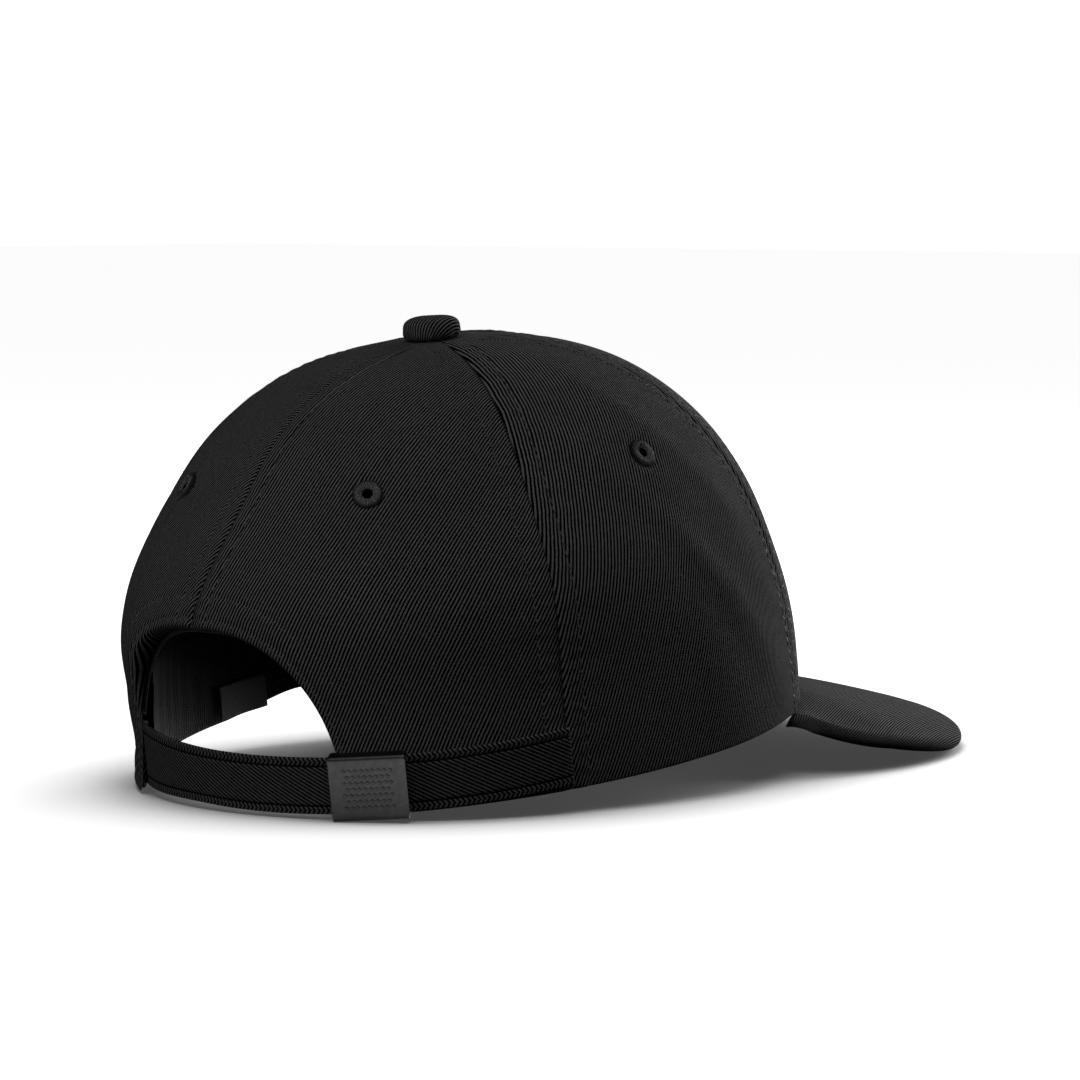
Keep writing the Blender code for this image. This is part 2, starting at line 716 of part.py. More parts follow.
def make_cover(metal, hinge, bore_radius):
    """Hinged cover plate with a knuckle round the pin, made about its own axis."""
    stations = ((-9.7, 2.6), (-8.2, 2.6), (-8.0, COVER_LIP), (-3.0, COVER_LIP),
                (3.0, COVER_LIP), (8.9, COVER_LIP), (9.2, 0.4), (9.7, 2.3))
    cover = loft("clasp_cover", [cover_section(x, lip) for x, lip in stations], metal, hinge)
    ring = [(KNUCKLE_RADIUS * cos(a), KNUCKLE_RADIUS * sin(a))
            for a in [pi + pi * t / 6 for t in range(7)]]
    outline = ring + [(KNUCKLE_RADIUS, 1.5), (-KNUCKLE_RADIUS + 0.25, 1.5)]
    reach = CLASP_WALL_IN - 0.3
    knuckle = loft("knuckle", [[(x, y, z) for x, y in outline] for z in (-reach, reach)], None, hinge)
    knuckle.hide_render = True
    knuckle.display_type = "WIRE"
    boolean(cover, knuckle, "UNION")
    bore = cylinder_cutter("knuckle_bore", bore_radius, -12.0, 12.0, 12, hinge)
    boolean(cover, bore, "DIFFERENCE")
    return cover


def make_pin(metal, seat):
    head = CLASP_WALL_OUT + 0.15
    profile = [(0.0, head + 0.35), (0.5, head + 0.35), (0.6, head), (PIN_RADIUS, head)]
    profile += [(r, -h) for r, h in reversed(profile)]
    pin = solid_turn("clasp_pin", profile, 12, metal, seat)
    pin.matrix_local = millimetre_move(PIN_X, PIN_Y, 0.0)
    pin.data.shade_smooth()


def make_tab(webbing, seat):
    """Webbing tab: sewn inside the panel, looped round the frame's bar."""
    path = [Vector((x, y - clasp_sag(x), 0.0)) for x, y in TAB_PATH]
    left = []
    right = []
    for k, point in enumerate(path):
        before = path[max(k - 1, 0)]
        after = path[min(k + 1, len(path) - 1)]
        along = (after - before).normalized()
        side = Vector((-along.y, along.x, 0.0)) * (TAB_THICKNESS / 2)
        left.append(point + side)
        right.append(point - side)
    sections = []
    for a, b in zip(left, right):
        sections.append([(p.x, p.y, z) for p, z in ((a, -TAB_HALF_WIDTH), (b, -TAB_HALF_WIDTH),
                                                    (b, TAB_HALF_WIDTH), (a, TAB_HALF_WIDTH))])
    return loft("clasp_tab", sections, webbing, seat)


def make_clasp(metal, pin_metal, webbing, axis):
    """The clasp sits on the strap's arc: X along the strap, Y outwards, Z down."""
    a = radians(CLASP_ANGLE)
    along = Vector((-cos(a), -sin(a), 0.0))
    outwards = Vector((-sin(a), cos(a), 0.0))
    turn = Matrix((along, outwards, along.cross(outwards))).transposed().to_4x4()
    place = Matrix.Translation(outwards * STRAP_RADIUS * MM) @ turn
    seat = add_empty("clasp_seat", axis, place)
    make_clasp_frame(metal, seat)
    make_pin(pin_metal, seat)
    make_tab(webbing, seat)
    hinge = add_empty("cover_axis", seat, millimetre_move(PIN_X, PIN_Y, 0.0))
    make_cover(metal, hinge, KNUCKLE_HOLE)


# ---- assembly -------------------------------------------------------------------------------------

def clear_scene():
    for obj in list(bpy.data.objects):
        bpy.data.objects.remove(obj)


def main():
    clear_scene()
    cloth = make_material("twill", CLOTH_BLACK, 0.85)
    thread = make_material("thread", CLOTH_BLACK, 0.6)
    lining = make_material("lining", LINING_BLACK, 0.9)
    stiff = make_material("stiffener", STIFFENER_GREY, 0.9)
    board = make_material("board", BOARD_GREY, 0.6)
    webbing = make_material("webbing", WEB_BLACK, 0.8)
    metal = make_material("gunmetal", GUNMETAL, 0.35, 1.0)
    steel = make_material("steel", STEEL, 0.3, 1.0)
    label = make_material("label", LABEL_GREY, 0.7)
    stance = millimetre_move(0.0, SHIFT, LIFT) @ Matrix.Rotation(radians(-PITCH), 4, "X")
    cap = add_empty("cap", None, stance)
    make_crown(cloth, thread, lining, stiff, cap)
    make_label(label, cap)
    make_button(cloth, steel, cap)
    make_visor(cloth, board, cap)
    axis = strap_frame(cap)
    make_strap(webbing, axis)
    make_clasp(metal, steel, webbing, axis)


main()
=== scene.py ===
"""Looks of the baseball cap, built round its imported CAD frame.

Lengths are millimetres in the cap's own frame, as in the part's source: the
rim lies in z = 0, the visor points along -Y and the wearer's right is -X.
STANCE puts that frame on the floor, in metres.  Angles run round the crown
from the rear towards the wearer's right, and climb runs from 0 at the rim to
90 at the top.
"""

from math import acos, cos, degrees, pi, radians, sin, sqrt

import bmesh
import bpy
import numpy as np
from mathutils import Matrix, Vector


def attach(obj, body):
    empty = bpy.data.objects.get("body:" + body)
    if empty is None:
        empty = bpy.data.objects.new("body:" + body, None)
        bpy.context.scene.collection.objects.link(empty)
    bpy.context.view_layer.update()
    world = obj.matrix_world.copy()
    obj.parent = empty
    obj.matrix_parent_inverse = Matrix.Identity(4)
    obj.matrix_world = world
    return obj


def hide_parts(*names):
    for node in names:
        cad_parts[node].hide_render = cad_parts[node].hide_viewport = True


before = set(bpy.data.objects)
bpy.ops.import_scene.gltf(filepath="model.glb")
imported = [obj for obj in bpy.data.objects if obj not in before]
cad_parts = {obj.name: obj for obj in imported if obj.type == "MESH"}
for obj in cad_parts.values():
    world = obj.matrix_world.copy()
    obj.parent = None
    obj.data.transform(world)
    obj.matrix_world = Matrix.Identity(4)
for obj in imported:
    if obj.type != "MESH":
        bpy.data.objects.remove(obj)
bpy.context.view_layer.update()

# ---- stance and crown, as in the CAD ---------------------------------
MM = 0.001
PITCH = 6.8
LIFT = 11.94
SHIFT = 29.0
STANCE = (Matrix.Translation(Vector((0.0, SHIFT, LIFT)) * MM)
          @ Matrix.Rotation(radians(-PITCH), 4, "X"))

HALF_WIDTH = 83.3
REAR_LENGTH = 106.8
FRONT_LENGTH = 95.1
CROWN_HEIGHT = 108.7
APEX_Y = 6.7
PLAN_POWER = 0.80
RISE_POWER = 0.85
TOP_HOLE_RADIUS = 4.2
SEAMS = {"side_right": 62.8, "front_right": 122.6, "front": 180.0,
         "front_left": 237.4, "side_left": 297.2}
REAR_SEAM_CLIMBS = (0.0, 21.6, 45.0, 90.0)
REAR_SEAM_LEANS = (-2.0, -2.0, 1.1, 0.0)
PANELS = {"rear_right": ("rear", "side_right"), "side_right": ("side_right", "front_right"),
          "front_right": ("front_right", "front"), "front_left": ("front", "front_left"),
          "side_left": ("front_left", "side_left"), "rear_left": ("side_left", "rear_again")}
ARCH_HALF_ANGLES = {"right": 27.3, "left": 24.6}
ARCH_HEIGHT = 46.7
ARCH_POWERS = {"right": 2.28, "left": 3.0}
RIM_RISE = 3.2               # the rim's left side lifts this much ...
RIM_RISE_FROM = (240.0, 256.0)   # ... growing between these angles ...
RIM_RISE_TO = (264.0, 283.0)     # ... and ending between these

# ---- cloth work on the crown -----------------------------------------
SEAM_GAP = 0.2
PANEL_THICKNESS = 1.0
RIM_FOLD = 0.62              # radius of the fold along the rim ...
ARCH_FOLD = 1.05             # ... and along the arch
HEM_WIDTH = 7.6              # the arch's hem
CORNER_ROUND = 5.0           # rounding of the arch's lower corners
ARCH_DEGREE = 1.75           # millimetres in a degree round the arch
PANEL_COLUMNS = 180
PANEL_ROWS = 190
SLUMP = 3.2                  # how far the rear bulges, at this height
SLUMP_HEIGHT = 50.0
ROW_OFFSET = 5.3             # stitch rows beside each seam
STITCH_PITCH = 3.1
STITCH_LENGTH = 2.6
STITCH_WIDTH = 0.50
STITCH_LEAN = 13.0           # degrees from the row
EYELET_CLIMB = 43.3
EYELETS = {"rear_right": 31.2, "side_right": 91.5, "front_right": 151.0,
           "front_left": 209.0, "side_left": 268.5, "rear_left": 335.0}
EYELET_RADIUS = 4.0
EYELET_HOLE = 1.25
EYELET_THREADS = 46

# ---- layers inside ---------------------------------------------------
STIFFENER_DEPTHS = (1.5, 2.0)
STIFFENER_TOP = 66.0
TAPE_DEPTHS = (2.8, 3.3)
TAPE_HALF_WIDTH = 7.0
BINDING_DEPTHS = (2.3, 2.7)
BINDING_WIDTH = 9.0
BINDING_FOOT = 22.0
SWEATBAND_DEPTHS = (4.6, 5.7)
SWEATBAND_HEIGHTS = (0.8, 32.0)
SWEATBAND_ENDS = (29.8, 332.9)
LABEL_ANGLE = 278.5
LABEL_HALF_WIDTH = 8.5
LABEL_HEIGHTS = (1.6, 11.0)
LABEL_DEPTHS = (6.1, 6.5)

# ---- button ----------------------------------------------------------
BUTTON_RADIUS = 7.75
BUTTON_HEIGHT = 6.3

# ---- visor -----------------------------------------------------------
VISOR_ROOT_ANGLE = 118.0
VISOR_HALF_WIDTH = 84.4
VISOR_FRONT = 163.3
VISOR_WIDEST_Y = 76.7
VISOR_CORNER = (75.3, 45.8)
VISOR_TURN = 0.72
VISOR_ROOT_TUCK = 2.0
VISOR_ROOT_Z = -2.5
VISOR_FALL = 0.38
VISOR_ARCH_RADIUS = 181.0
VISOR_DROP = 0.95
VISOR_SIDE_DROP = 5.0        # how far its back corners are pulled down ...
VISOR_SIDE_SHARE = 0.58      # ... beyond this share of the outline
VISOR_LEAST_WIDTH = 12.0
VISOR_SKIN = 2.1             # half thickness of the covered visor
VISOR_REACH = 0.995

# ---- strap and clasp -------------------------------------------------
STRAP_CENTRE = (-5.3, 31.4, 13.1)
STRAP_RADIUS = 73.7
STRAP_TILT = 3.5
STRAP_DIP_ANGLE = 34.0
STRAP_START = -45.0
STRAP_END = 74.8
STRAP_WIDTH = 15.0
STRAP_THICKNESS = 1.4
STRAP_LENGTH = radians(STRAP_END) * STRAP_RADIUS   # from the arc's middle to the tail
STRAP_SPLAY = 2.0            # the sewn end widens downwards this much
SELVAGE = 5.2                # where the braided edges begin, from the strap's middle
CLASP_ANGLE = 33.1
CLASP_WALL_IN = 7.65
COVER_HALF_HEIGHT = 8.55
COVER_SHEET = 0.6
COVER_FACE = 3.65
COVER_FOLD = 1.0
COVER_LIP = -0.6
COVER_BOW = 0.06
COVER_BOW_SHARES = (0.5, 1.6)    # of that bow, at the hinge and at the free end
STUD_COLUMNS = 9
STUD_ROWS = 7
STUD_START = (-6.0, -4.8)
STUD_STEP = (1.5, 1.6)
STUD_REACH = 6.4             # no stud stands beyond this
STUD_HALF = (0.62, 0.55)
PIN_X = -9.2
PIN_Y = 1.8
KNUCKLE_RADIUS = 0.95
TAB_THICKNESS = 0.7
TAB_HALF_WIDTH = 4.8
TAB_PATH = ((2.0, -6.35), (-2.0, -6.35), (-6.0, -6.2), (-8.6, -5.6), (-10.2, -4.6),
            (-10.95, -3.4), (-10.6, -2.15), (-9.7, -1.6), (-8.8, -1.9), (-8.35, -2.8),
            (-8.3, -4.1), (-8.0, -5.05), (-6.6, -5.5), (-2.0, -5.5), (2.0, -5.5))

# ---- weave and colour ------------------------------------------------
UV_NAME = "Cloth"
UV_SCALE = 0.01              # texture units in a millimetre
TWILL_PITCH = 0.92
TWILL_LEAN = 26.0            # degrees from the panel's centre line
TWILL_DEPTH = 0.78           # how far the wales tell in the tone, and so in the painted shade and light of the weave ...
TWILL_MEAN = 0.62            # ... round this height of the weave
# The visor's twill is a lit copy of the crown's: finer, with less painted furrow shade and a
# brighter colour, as painted light.
VISOR_TWILL_PITCH = 0.66
VISOR_TWILL_DEPTH = 0.36
VISOR_PAINTED_LIGHT_GAIN = 1.45      # painted light: brightness beside the crown's cloth, for the visor's upturned face seen at a grazing view
CLOTH_BLACK = (0.0560, 0.0560, 0.0572)
WEB_BLACK = (0.0560, 0.0560, 0.0570)
THREAD_BLACK = (0.1150, 0.1150, 0.1170)
# Lining and label colours are darkened: painted shade for the dark inside of the crown.
LINING_SHADED_BLACK = (0.0078, 0.0076, 0.0060)
LABEL_SHADED_GREY = (0.016, 0.016, 0.016)
GUNMETAL = (0.062, 0.062, 0.062)
STEEL = (0.35, 0.35, 0.35)
FLOOR_WHITE = (0.93, 0.93, 0.93)

# ---- camera and light ------------------------------------------------
CAMERA_AZIMUTH = 40.8        # degrees from the rear towards the wearer's right
CAMERA_HEIGHT_ANGLE = 4.45
CAMERA_DISTANCE = 1250.0
CAMERA_AIM = (16.2, 3.2, 60.44)   # right, up and height of the point that it aims at
CAMERA_LENS = 152.4
# Directions below are seen from the cap: degrees round from the camera towards its right.
DOME = ((0.0, 0.12), (0.08, 0.50), (0.35, 0.50), (0.7, 0.22), (1.0, 0.10))   # by height
BACKDROP_TURN = 165.0
BACKDROP = ((0.0, 0.12), (0.45, 0.22), (0.75, 0.90), (1.0, 1.0))   # brightness by direction
DOME_GAIN = 0.15
WHITE = (1.0, 1.0, 1.0, 1.0)
WHITE_GAIN = 1.05            # what the camera sees past the floor
LIGHT_DISTANCE = 1.6
LIGHT_SIZE = 0.9
LIGHT_AIM = (0.0, 0.02, 0.05)    # in metres, on the floor's frame
LIGHTS = (("left_softbox", -60.0, 3.0, 2.2),      # turn, height and power
          ("top_softbox", -6.0, 55.0, 4.6),
          ("right_softbox", 120.0, 27.0, 4.3),
          ("far_right_softbox", 150.0, 25.0, 2.2),
          ("rim_softbox", 150.0, 3.0, 36.0))
FLOOR_GLOW = (0.05, 0.95)    # from the deepest shade to the open floor
FLOOR_SHADE = (0.40, 0.97)   # openness of the sky over the floor at those two
FLOOR_SHADE_REACH = 0.28     # metres
FLOOR_HALF = 8.0


# ---- small helpers ---------------------------------------------------

def smooth(t):
    t = np.clip(t, 0.0, 1.0)
    return t * t * (3 - 2 * t)


def mix(a, b, t):
    return a + (b - a) * t


def bell(distance, width):
    """1 on a line, falling to 0 beside it."""
    return np.exp(-(distance / width) ** 2)


def together(*parts):
    """One array with the parts along its last axis."""
    return np.stack(np.broadcast_arrays(*parts), -1)


def way_along(points):
    """Distance from the first point of a polyline to each of its points."""
    return np.concatenate(([0.0], np.cumsum(np.linalg.norm(np.diff(points, axis=0), axis=-1))))


def read_at(marks, index, points):
    """Points of a polyline at marks along its index."""
    return np.stack([np.interp(marks, index, column) for column in points.T], -1)


def averaged(points, reach):
    """Each point moved to the middle of its neighbours, this many either way."""
    padded = np.concatenate((np.repeat(points[:1], reach, 0), points,
                             np.repeat(points[-1:], reach, 0)))
    kernel = np.ones(2 * reach + 1) / (2 * reach + 1)
    return np.stack([np.convolve(column, kernel, "valid") for column in padded.T], -1)


def new_object(name, data):
    obj = bpy.data.objects.new(name, data)
    bpy.context.collection.objects.link(obj)
    return obj


def unit(v):
    return v / np.maximum(np.linalg.norm(v, axis=-1, keepdims=True), 1e-12)


def ripple(s, t, seed):
    """Smooth wandering value of about -1 to 1 over a surface, from fixed waves."""
    total = 0.0
    for k in range(5):
        turn = 2.4 * k + 1.7 * seed
        wave = (s * cos(turn) + t * sin(turn)) * (0.6 + 0.23 * k) + 2.1 * k * seed
        total = total + np.sin(wave + 0.8 * np.sin(0.7 * wave + k)) / 2.6
    return total


# ---- crown surface ---------------------------------------------------

def crown_face(angle, climb):
    a = np.radians(angle)
    c = np.radians(climb)
    close = np.maximum(np.cos(c), 1e-9) ** PLAN_POWER
    rise = np.maximum(np.sin(c), 0.0) ** RISE_POWER
    length = np.where(np.cos(a) > 0, REAR_LENGTH, FRONT_LENGTH)
    return np.stack((-HALF_WIDTH * np.sin(a) * close,
                     length * np.cos(a) * close + APEX_Y * (1 - close),
                     CROWN_HEIGHT * rise + 0 * a), axis=-1)


def crown_normal(angle, climb):
    low = np.clip(climb, 0.6, 89.0)
    along = crown_face(angle + 0.2, low) - crown_face(angle - 0.2, low)
    up = crown_face(angle, low + 0.3) - crown_face(angle, low - 0.3)
    return unit(np.cross(along, up))


def crown_out(angle, climb):
    """Outward direction for offsets, level near the rim."""
    normal = crown_normal(angle, climb)
    flat = unit(normal * (1.0, 1.0, 0.0))
    share = smooth(np.asarray(climb) / 12.0)[..., None]
    return unit(mix(flat, normal, share))


def crown_point(angle, climb, depth=0.0):
    angle, climb = np.broadcast_arrays(np.asarray(angle, float), np.asarray(climb, float))
    depth = np.asarray(depth, float)[..., None]
    return crown_face(angle, climb) - crown_out(angle, climb) * depth


def climb_at(height):
    return np.degrees(np.arcsin(np.clip(np.asarray(height) / CROWN_HEIGHT, 0, 1)
                                ** (1 / RISE_POWER)))


def top_climb(radius):
    return degrees(acos((radius / HALF_WIDTH) ** (1 / PLAN_POWER)))


def seam_angle(name, climb):
    climb = np.asarray(climb, float)
    if name in SEAMS:
        return SEAMS[name] + 0 * climb
    k = np.clip(np.searchsorted(REAR_SEAM_CLIMBS, climb, side="right") - 1, 0, 2)
    knots = np.array(REAR_SEAM_CLIMBS)
    leans = np.array(REAR_SEAM_LEANS)
    t = smooth((climb - knots[k]) / (knots[k + 1] - knots[k]))
    lean = mix(leans[k], leans[k + 1], t)
    return lean + (360.0 if name == "rear_again" else 0.0)


def arch_edge(turn, side, inset=0.0):
    """Angle and height along one side of the arch, from its top (0) to its foot (1)."""
    a = np.asarray(turn) * pi / 2
    power = ARCH_POWERS[side]
    return ((ARCH_HALF_ANGLES[side] + inset / ARCH_DEGREE) * np.sin(a) ** (2 / power),
            (ARCH_HEIGHT + inset) * np.cos(a) ** (2 / power))


def rim_rise(angle):
    """Height of the rim above its plane."""
    start = smooth((angle - RIM_RISE_FROM[0]) / (RIM_RISE_FROM[1] - RIM_RISE_FROM[0]))
    stop = smooth((RIM_RISE_TO[1] - angle) / (RIM_RISE_TO[1] - RIM_RISE_TO[0]))
    return RIM_RISE * np.minimum(start, stop)


# ---- panels ----------------------------------------------------------

class Gore:
    """One crown panel: its seams, its flat cloth size and the relief on its face."""

    TABLE = np.linspace(0.0, 88.5, 120)

    def __init__(self, side):
        self.side = side
        self.first, self.last = PANELS[side]
        self.seed = 1.0 + list(PANELS).index(side)
        c = self.TABLE
        shares = np.linspace(0.0, 1.0, 25)[:, None]
        rows = crown_face(self.angle(shares, c[None, :]), c[None, :])
        self.width = np.linalg.norm(np.diff(rows, axis=0), axis=-1).sum(0)
        self.rise = way_along(rows[12])

    def angle(self, share, climb):
        radius = np.maximum(HALF_WIDTH * np.maximum(np.cos(np.radians(climb)), 1e-6)
                            ** PLAN_POWER, 1.0)
        gap = np.degrees(0.5 * SEAM_GAP / radius)
        start = seam_angle(self.first, climb) + gap
        return mix(start, seam_angle(self.last, climb) - gap, share)

    def share(self, angle, climb):
        start = seam_angle(self.first, climb)
        return (angle - start) / (seam_angle(self.last, climb) - start)

    def cloth(self, share, climb):
        """Flat cloth coordinates: across from the centre line, and up from the rim."""
        across = (share - 0.5) * np.interp(climb, self.TABLE, self.width)
        return across, np.interp(climb, self.TABLE, self.rise)

    def relief(self, share, climb, edge):
        """Height of the cloth's face over the plain crown; edge is the way to the low hem."""
        width = np.interp(climb, self.TABLE, self.width)
        _, up = self.cloth(share, climb)
        height = np.interp(climb, self.TABLE, CROWN_HEIGHT
                           * np.sin(np.radians(self.TABLE)) ** RISE_POWER)
        total = 0.0
        for sign, way in ((1.0, share * width), (-1.0, (1 - share) * width)):
            total = total - 0.34 * smooth((2.2 - way) / 2.2) ** 2 - 0.30 * bell(way, 0.30)
            total = total + 0.16 * bell(way - 3.1, 1.8) - 0.22 * bell(way - ROW_OFFSET, 0.42)
            total = total + 0.10 * bell(way - ROW_OFFSET - 1.7, 1.3)
            pucker = np.sin(up * 2 * pi / 3.9 + 2.0 * np.sin(up * 0.13 + self.seed + sign))
            total = total + 0.10 * pucker * bell(way - 3.2, 2.3)
            wave = np.sin(up * 2 * pi / 9.5 + 1.8 * np.sin(up * 0.09 + 2 * self.seed + sign))
            total = total + 0.09 * wave * bell(way - 8.5, 4.5)
        angle = self.angle(share, climb)
        point = crown_face(angle, climb)
        total = total + 0.35 * ripple(point[..., 0] * 0.045, height * 0.045, self.seed)
        total = total + 0.13 * ripple(point[..., 1] * 0.14, height * 0.10, self.seed + 3)
        total = total + self.folds(angle, height) + self.slump(angle, height, edge)
        gap = np.linalg.norm(point - crown_face(EYELETS[self.side], EYELET_CLIMB), axis=-1)
        total = total - 0.30 * smooth((7.0 - gap) / 3.5) - 0.25 * bell(gap - 4.1, 0.5)
        if self.side.startswith("rear"):
            total = total - 0.26 * bell(edge - HEM_WIDTH, 0.45) + 0.16 * bell(edge - 4.7, 2.0)
            total = total - 0.24 * bell(edge - 1.9, 0.40)
            along = angle * 1.6 + height
            crimp = np.sin(along * 1.15 + 1.8 * np.sin(along * 0.13))
            total = total + 0.13 * crimp * bell(edge - 5.5, 2.8)
        fade = smooth((88.0 - climb) / 8.0)
        return total * fade

    def slump(self, angle, height, edge):
        """The rear bulges over the sweatband; the arch's left side bows out, then in."""
        turn = (angle + 180.0) % 360.0 - 180.0
        share = smooth((turn + 50.0) / 25.0) * smooth((105.0 - turn) / 40.0)
        total = SLUMP * bell(height - SLUMP_HEIGHT, 17.0) * share
        if self.side == "rear_left":
            near = smooth((30.0 - edge) / 26.0)
            total = total + near * (1.5 * bell(height - 38.0, 10.0)
                                    - 2.0 * bell(height - 12.0, 13.0))
        return total

    def folds(self, angle, height):
        """Soft drapes, each a ridge between two places given as (angle, height)."""
        total = 0.0
        for side, a0, h0, a1, h1, size, width in FOLDS:
            if side != self.side:
                continue
            x = (angle - a0) * 1.5
            y = height - h0
            dx = (a1 - a0) * 1.5
            dy = h1 - h0
            length = sqrt(dx * dx + dy * dy)
            t = (x * dx + y * dy) / length ** 2
            off = (x * dy - y * dx) / length
            ends = smooth((t + 0.25) / 0.45) * smooth((1.25 - t) / 0.45)
            total = total + size * bell(off, width) * ends
        return total


FOLDS = (
    ("side_right", 73.0, 88.0, 104.0, 34.0, 0.45, 4.5),
    ("side_right", 77.0, 80.0, 98.0, 30.0, -0.30, 5.0),
    ("side_right", 84.0, 62.0, 112.0, 14.0, 0.35, 6.0),
    ("side_right", 92.0, 96.0, 110.0, 60.0, 0.35, 5.0),
    ("rear_left", 336.0, 84.0, 338.0, 50.0, 0.6, 3.2),
    ("rear_left", 343.0, 84.0, 346.0, 56.0, -0.5, 2.6),
    ("rear_left", 326.0, 78.0, 326.0, 34.0, 0.6, 4.5),
    ("rear_right", 14.0, 60.0, 42.0, 40.0, 0.3, 7.0),
    ("side_left", 262.0, 84.0, 250.0, 30.0, 0.6, 5.0),
    ("front_right", 150.0, 60.0, 132.0, 16.0, 0.4, 6.0),
    ("front_left", 212.0, 66.0, 226.0, 18.0, 0.4, 6.0),
)


def seam_spacing(count):
    """Shares from 0 to 1 that lie closer together towards both seams."""
    fine = np.linspace(0.0, 1.0, 2001)
    density = 1 + 2.6 * (bell(fine, 0.07) + bell(1 - fine, 0.07))
    way = np.concatenate(([0.0], np.cumsum(0.5 * (density[1:] + density[:-1]))))
    return np.interp(np.linspace(0.0, 1.0, count), way / way[-1], fine)


def low_border(gore, count):
    """The panel's lower outline as (share, climb, fold radius), from first seam to last."""
    if not gore.side.startswith("rear"):
        share = seam_spacing(count)
        height = RIM_FOLD + rim_rise(gore.angle(share, 0.0))
        return share, climb_at(height), RIM_FOLD + 0 * share
    turn = np.linspace(0.0, 1.0, 60)
    angle, height = arch_edge(turn, gore.side[5:], ARCH_FOLD)
    height = np.maximum(height, RIM_FOLD)
    rim = np.linspace(angle[-1], SEAMS["side_right"], 30)[1:]
    angle = np.concatenate((angle, rim))
    height = np.concatenate((height, np.full(len(rim), RIM_FOLD)))
    flat = np.stack((angle * ARCH_DEGREE, height), -1)
    way = way_along(flat)
    fine = np.linspace(0.0, way[-1], 400)
    flat = read_at(fine, way, flat)
    soft = averaged(flat, int(CORNER_ROUND / fine[1]))
    foot = np.interp(ARCH_HALF_ANGLES[gore.side[5:]] * ARCH_DEGREE, flat[:, 0], fine)
    near = bell(fine - way[59], 1.3 * CORNER_ROUND)[:, None]
    flat = mix(flat, soft, near)
    even = seam_spacing(count) * fine[-1]
    angle = np.interp(even, fine, flat[:, 0]) / ARCH_DEGREE
    height = np.maximum(np.interp(even, fine, flat[:, 1]), RIM_FOLD)
    climb = climb_at(height)
    radius = mix(ARCH_FOLD, RIM_FOLD, smooth((even - foot) / 12.0))
    if gore.side == "rear_left":
        angle, climb, radius = 360.0 - angle[::-1], climb[::-1], radius[::-1]
    share = np.clip(gore.share(angle, climb), 0.0, 1.0)
    share[0], share[-1] = 0.0, 1.0
    return share, climb, radius


def panel_grid(gore, columns, rows):
    """Shares and climbs over the whole panel, spreading from its lower outline."""
    low_share, low_climb, radius = low_border(gore, columns)
    top = top_climb(TOP_HOLE_RADIUS)
    j = (np.linspace(0.0, 1.0, rows) ** 1.15)[None, :]
    across = seam_spacing(columns)
    spread = 1 - (1 - j) ** 2.2
    share = mix(low_share[:, None], across[:, None], spread)
    climb = mix(low_climb[:, None], top, j)
    return share, climb, radius


def border_distance(points, border):
    """Distance of each point from the nearest point of a polyline."""
    flat = points.reshape(-1, 3)
    best = np.empty(len(flat))
    for start in range(0, len(flat), 2000):
        part = flat[start:start + 2000]
        gaps = part[:, None, :] - border[None, :, :]
        best[start:start + 2000] = np.sqrt((gaps ** 2).sum(-1)).min(1)
    return best.reshape(points.shape[:-1])


def grid_faces(columns, rows, offset=0, flip=False):
    i, j = np.meshgrid(np.arange(columns - 1), np.arange(rows - 1), indexing="ij")
    a = (i * rows + j + offset).ravel()
    quads = np.stack((a, a + rows, a + rows + 1, a + 1), -1)
    return quads[:, ::-1] if flip else quads


def cap_mesh(name, points, faces, uv, material, body="cap", place=STANCE):
    """Smooth mesh from points in millimetres, with its cloth coordinates."""
    mesh = bpy.data.meshes.new(name)
    mesh.from_pydata((np.asarray(points) * MM).tolist(), [], [list(map(int, f)) for f in faces])
    mesh.transform(place)
    layer = mesh.uv_layers.new(name=UV_NAME)
    corners = np.empty(len(mesh.loops), np.int32)
    mesh.loops.foreach_get("vertex_index", corners)
    layer.data.foreach_set("uv", (np.asarray(uv)[corners] * UV_SCALE).astype(np.float32).ravel())
    mesh.polygons.foreach_set("use_smooth", np.ones(len(mesh.polygons), bool))
    mesh.update()
    obj = new_object(name, mesh)
    mesh.materials.append(material)
    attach(obj, body)
    return obj


def rings_to_mesh(name, rings, uv, material, body="cap", place=STANCE, closed=False):
    """Surface through rows of points; rows is (count, points, 3), uv the same."""
    rings = np.asarray(rings, float)
    columns, rows = rings.shape[:2]
    faces = grid_faces(columns, rows)
    if closed:
        j = np.arange(rows - 1)
        last = (columns - 1) * rows + j
        faces = np.concatenate((faces, np.stack((last, j, j + 1, last + 1), -1)))
    return cap_mesh(name, rings.reshape(-1, 3), faces, np.asarray(uv, float).reshape(-1, 2),
                    material, body, place)


